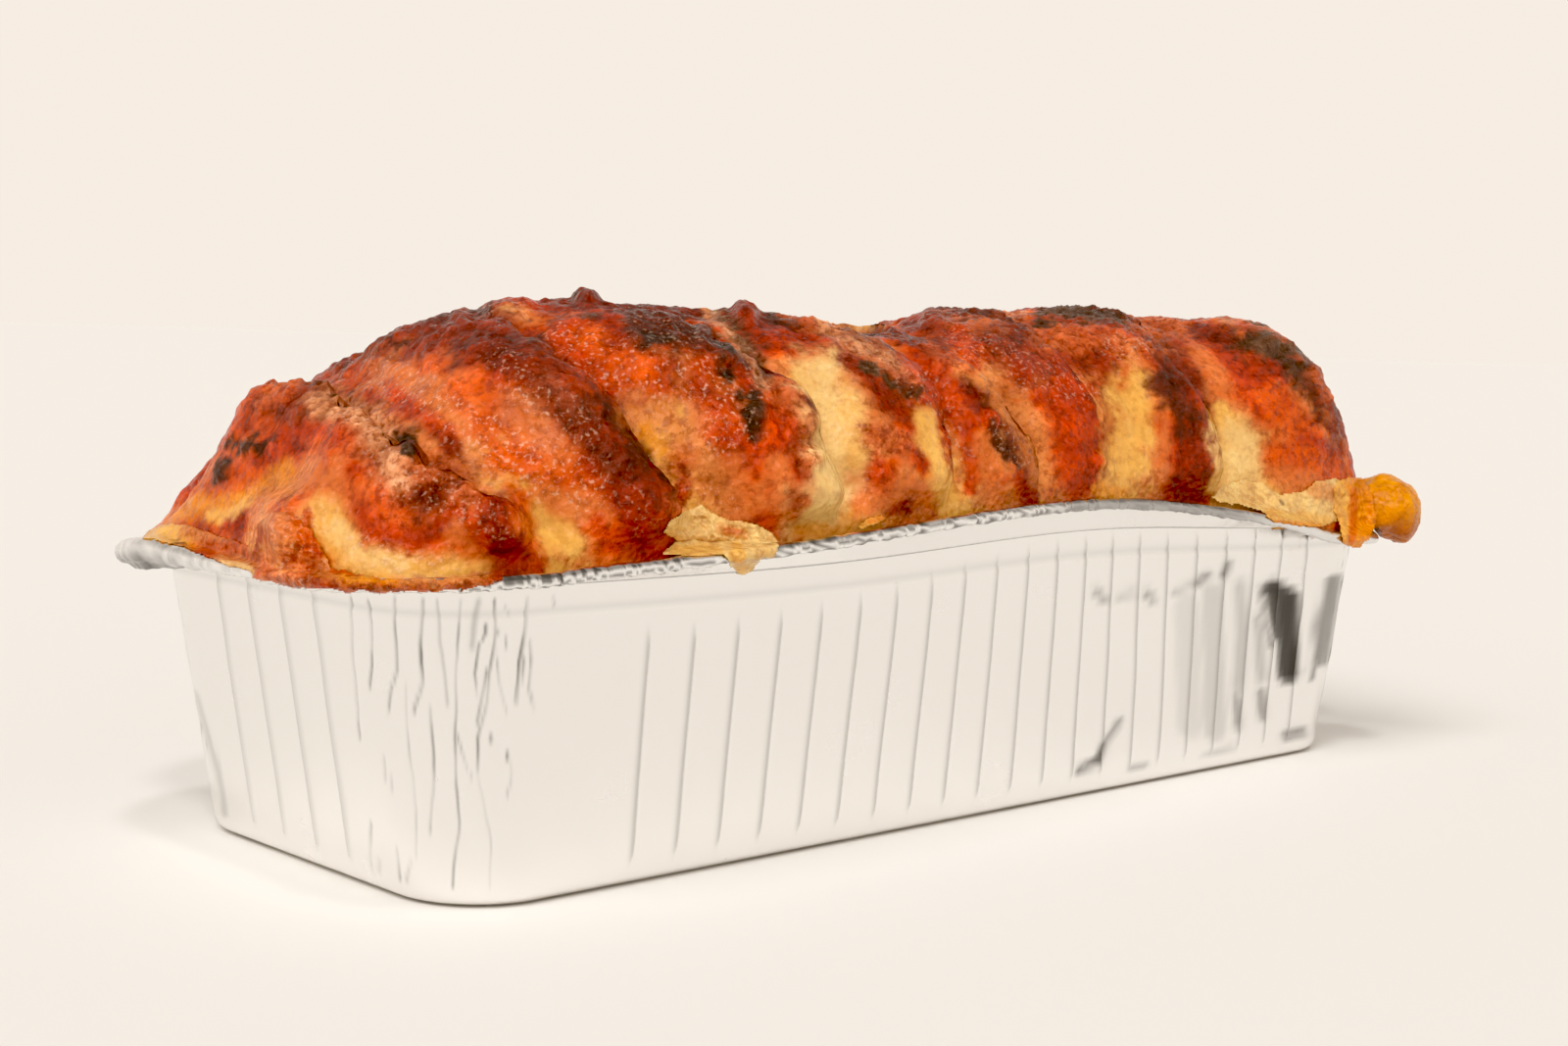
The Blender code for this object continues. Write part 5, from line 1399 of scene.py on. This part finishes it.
def crust_bump(add, place, crust):
    """Fine grain and small beads, stronger where it is crusty."""
    beads = add("TexVoronoi", {"Vector": place, "Scale": 0.55, "Smoothness": 0.5}, feature="SMOOTH_F1")
    grain = joined(add, "MULTIPLY", cloud(add, place, 0.9, 4.0, 0.6), 0.4)
    height = joined(add, "ADD", grain, joined(add, "MULTIPLY", beads.outputs[0], -0.45))
    strength = carried(add, crust, 0.0, 0.8, 0.25, 1.0)
    return add("Bump", {"Height": height, "Strength": strength, "Distance": 0.0022}).outputs[0]


def crust_material():
    """Wet baked crust and cheese, coloured by the painted attributes."""
    material, shader, add, link = new_material("baked_crust")
    skin = add("SeparateColor", {0: add("VertexColor", layer_name="skin").outputs["Color"]})
    crust, wet, painted_highlight_share = (skin.outputs[part] for part in ("Red", "Green", "Blue"))
    place = place_in_mm(add)
    link(crust_colour(add, place, crust, painted_highlight_share), shader.inputs["Base Color"])
    dull = carried(add, cloud(add, place, 0.22, 3.0), 0.35, 0.70, 0.08, 0.22)
    dry = carried(add, wet, 0.0, 1.0, 0.25, 0.0)
    link(joined(add, "ADD", dull, dry), shader.inputs["Roughness"])
    shader.inputs["Specular IOR Level"].default_value = 0.38
    shader.inputs["Specular Tint"].default_value = (1.0, 0.85, 0.75, 1.0)
    shader.inputs["Subsurface Weight"].default_value = 0.12
    shader.inputs["Subsurface Radius"].default_value = (1.0, 0.35, 0.12)
    shader.inputs["Subsurface Scale"].default_value = 0.002
    link(crust_bump(add, place, crust), shader.inputs["Normal"])
    return material


# %% Foil finish
FOIL_COLOUR = (0.93, 0.915, 0.90, 1.0)


def foil_material():
    """Bright aluminium foil, softly rolled, with a faint fine grain."""
    material, shader, add, link = new_material("aluminium_foil")
    place = place_in_mm(add)
    link(carried(add, cloud(add, place, 0.06, 3.0), 0.3, 0.7, 0.16, 0.28), shader.inputs["Roughness"])
    # The foil's colour is multiplied by the painted shade drawn with its creases.
    painted_foil_shade = add("VertexColor", layer_name="painted_foil_shade").outputs["Color"]
    link(mixed(add, FOIL_COLOUR, painted_foil_shade, 1.0, "MULTIPLY"), shader.inputs["Base Color"])
    shader.inputs["Metallic"].default_value = 1.0
    upright = add("VectorMath", {0: place, 1: (1.0, 1.0, 0.12)}, operation="MULTIPLY").outputs[0]
    grain = cloud(add, upright, 0.45, 4.0, 0.6)
    bump = add("Bump", {"Height": grain, "Strength": 0.25, "Distance": 0.0006})
    link(bump.outputs[0], shader.inputs["Normal"])
    return material


# %% Give the pieces their finishes
crust_finish = crust_material()
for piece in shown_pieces():
    if piece.name.startswith(("loaf", "cheese", "crust")):
        piece.data.materials.clear()
        piece.data.materials.append(crust_finish)
foil_finish = foil_material()
for piece in (foil_wall, foil_rim):
    piece.data.materials.append(foil_finish)

# %% [markdown]
# ## Floor and light
# The tray stands on a plain pale floor in a bright, even room. The floor's colour is chosen so that room and
# suns together light it to the room's own tone, and it runs into the backdrop with no horizon. A broad sun
# models the folds, and two narrow ones put the tiny highlights on the wet crust. The room is dimmer
# overhead, so that the wet tops of the folds mirror less of it and keep their colour.

# %% Floor and lights
ROOM_LIGHT = np.array((0.93, 0.85, 0.77))
KEY_LIGHT, SPARK_LIGHT = 0.32, 0.14
CEILING = 0.35
FLOOR_TONE = np.array((1.00, 0.925, 0.838))
FLOOR_HALF, FLOOR_DROP = 40.0, 0.0002
BLACK_POINT = (0.012, 0.016, 0.022)


def add_floor():
    """A wide plain floor, which isn't part of the object."""
    mesh = bpy.data.meshes.new("floor")
    corners = [(across * FLOOR_HALF, along * FLOOR_HALF, 0.0)
               for across, along in ((-1, -1), (1, -1), (1, 1), (-1, 1))]
    mesh.from_pydata(corners, [], [(0, 1, 2, 3)])
    floor = bpy.data.objects.new("floor", mesh)
    bpy.context.scene.collection.objects.link(floor)
    material, shader, _, _ = new_material("pale_floor")
    lit_by = ROOM_LIGHT * 0.62 + KEY_LIGHT + 2.0 * SPARK_LIGHT
    shader.inputs["Base Color"].default_value = (*(FLOOR_TONE / lit_by), 1.0)
    shader.inputs["Roughness"].default_value = 0.9
    shader.inputs["Specular IOR Level"].default_value = 0.0
    mesh.materials.append(material)
    floor.location.z = -FLOOR_DROP


def sun(name, coming_from, spread, share):
    """A sun from a direction, spread over some degrees, that lights the floor by a share of full white."""
    data = bpy.data.lights.new(name, "SUN")
    towards = Vector(coming_from).normalized()
    data.angle = math.radians(spread)
    data.energy = math.pi * share / towards.z
    light = bpy.data.objects.new(name, data)
    bpy.context.scene.collection.objects.link(light)
    light.rotation_mode = "QUATERNION"
    light.rotation_quaternion = (-towards).to_track_quat("-Z", "Y")


add_floor()
room = bpy.data.worlds.new("room")
bpy.context.scene.world = room
room.use_nodes = True
wiring = room.node_tree
direction = wiring.nodes.new("ShaderNodeTexCoord").outputs["Generated"]
parts = wiring.nodes.new("ShaderNodeSeparateXYZ")
wiring.links.new(direction, parts.inputs[0])
dimming = wiring.nodes.new("ShaderNodeMapRange")
wiring.links.new(parts.outputs["Z"], dimming.inputs["Value"])
for socket, value in zip(("From Min", "From Max", "To Min", "To Max"), (0.25, 0.75, 1.0, CEILING)):
    dimming.inputs[socket].default_value = value
backdrop = wiring.nodes["Background"]
backdrop.inputs["Color"].default_value = (*ROOM_LIGHT, 1.0)
wiring.links.new(dimming.outputs["Result"], backdrop.inputs["Strength"])
sun("key", (-0.75, -0.20, 1.0), 30.0, KEY_LIGHT)
sun("spark from the camera side", (-0.55, -0.80, 1.0), 7.0, SPARK_LIGHT)
sun("spark from overhead", (-0.15, -0.25, 1.0), 7.0, SPARK_LIGHT)

# %% [markdown]
# The picture was developed with deep blacks: its darkest crust has almost no blue. A black point a little
# above zero does the same here, and leaves the whites alone.

# %% Develop the picture
develop = bpy.context.scene.view_settings
develop.view_transform = "Standard"
develop.use_curve_mapping = True
develop.curve_mapping.black_level = BLACK_POINT
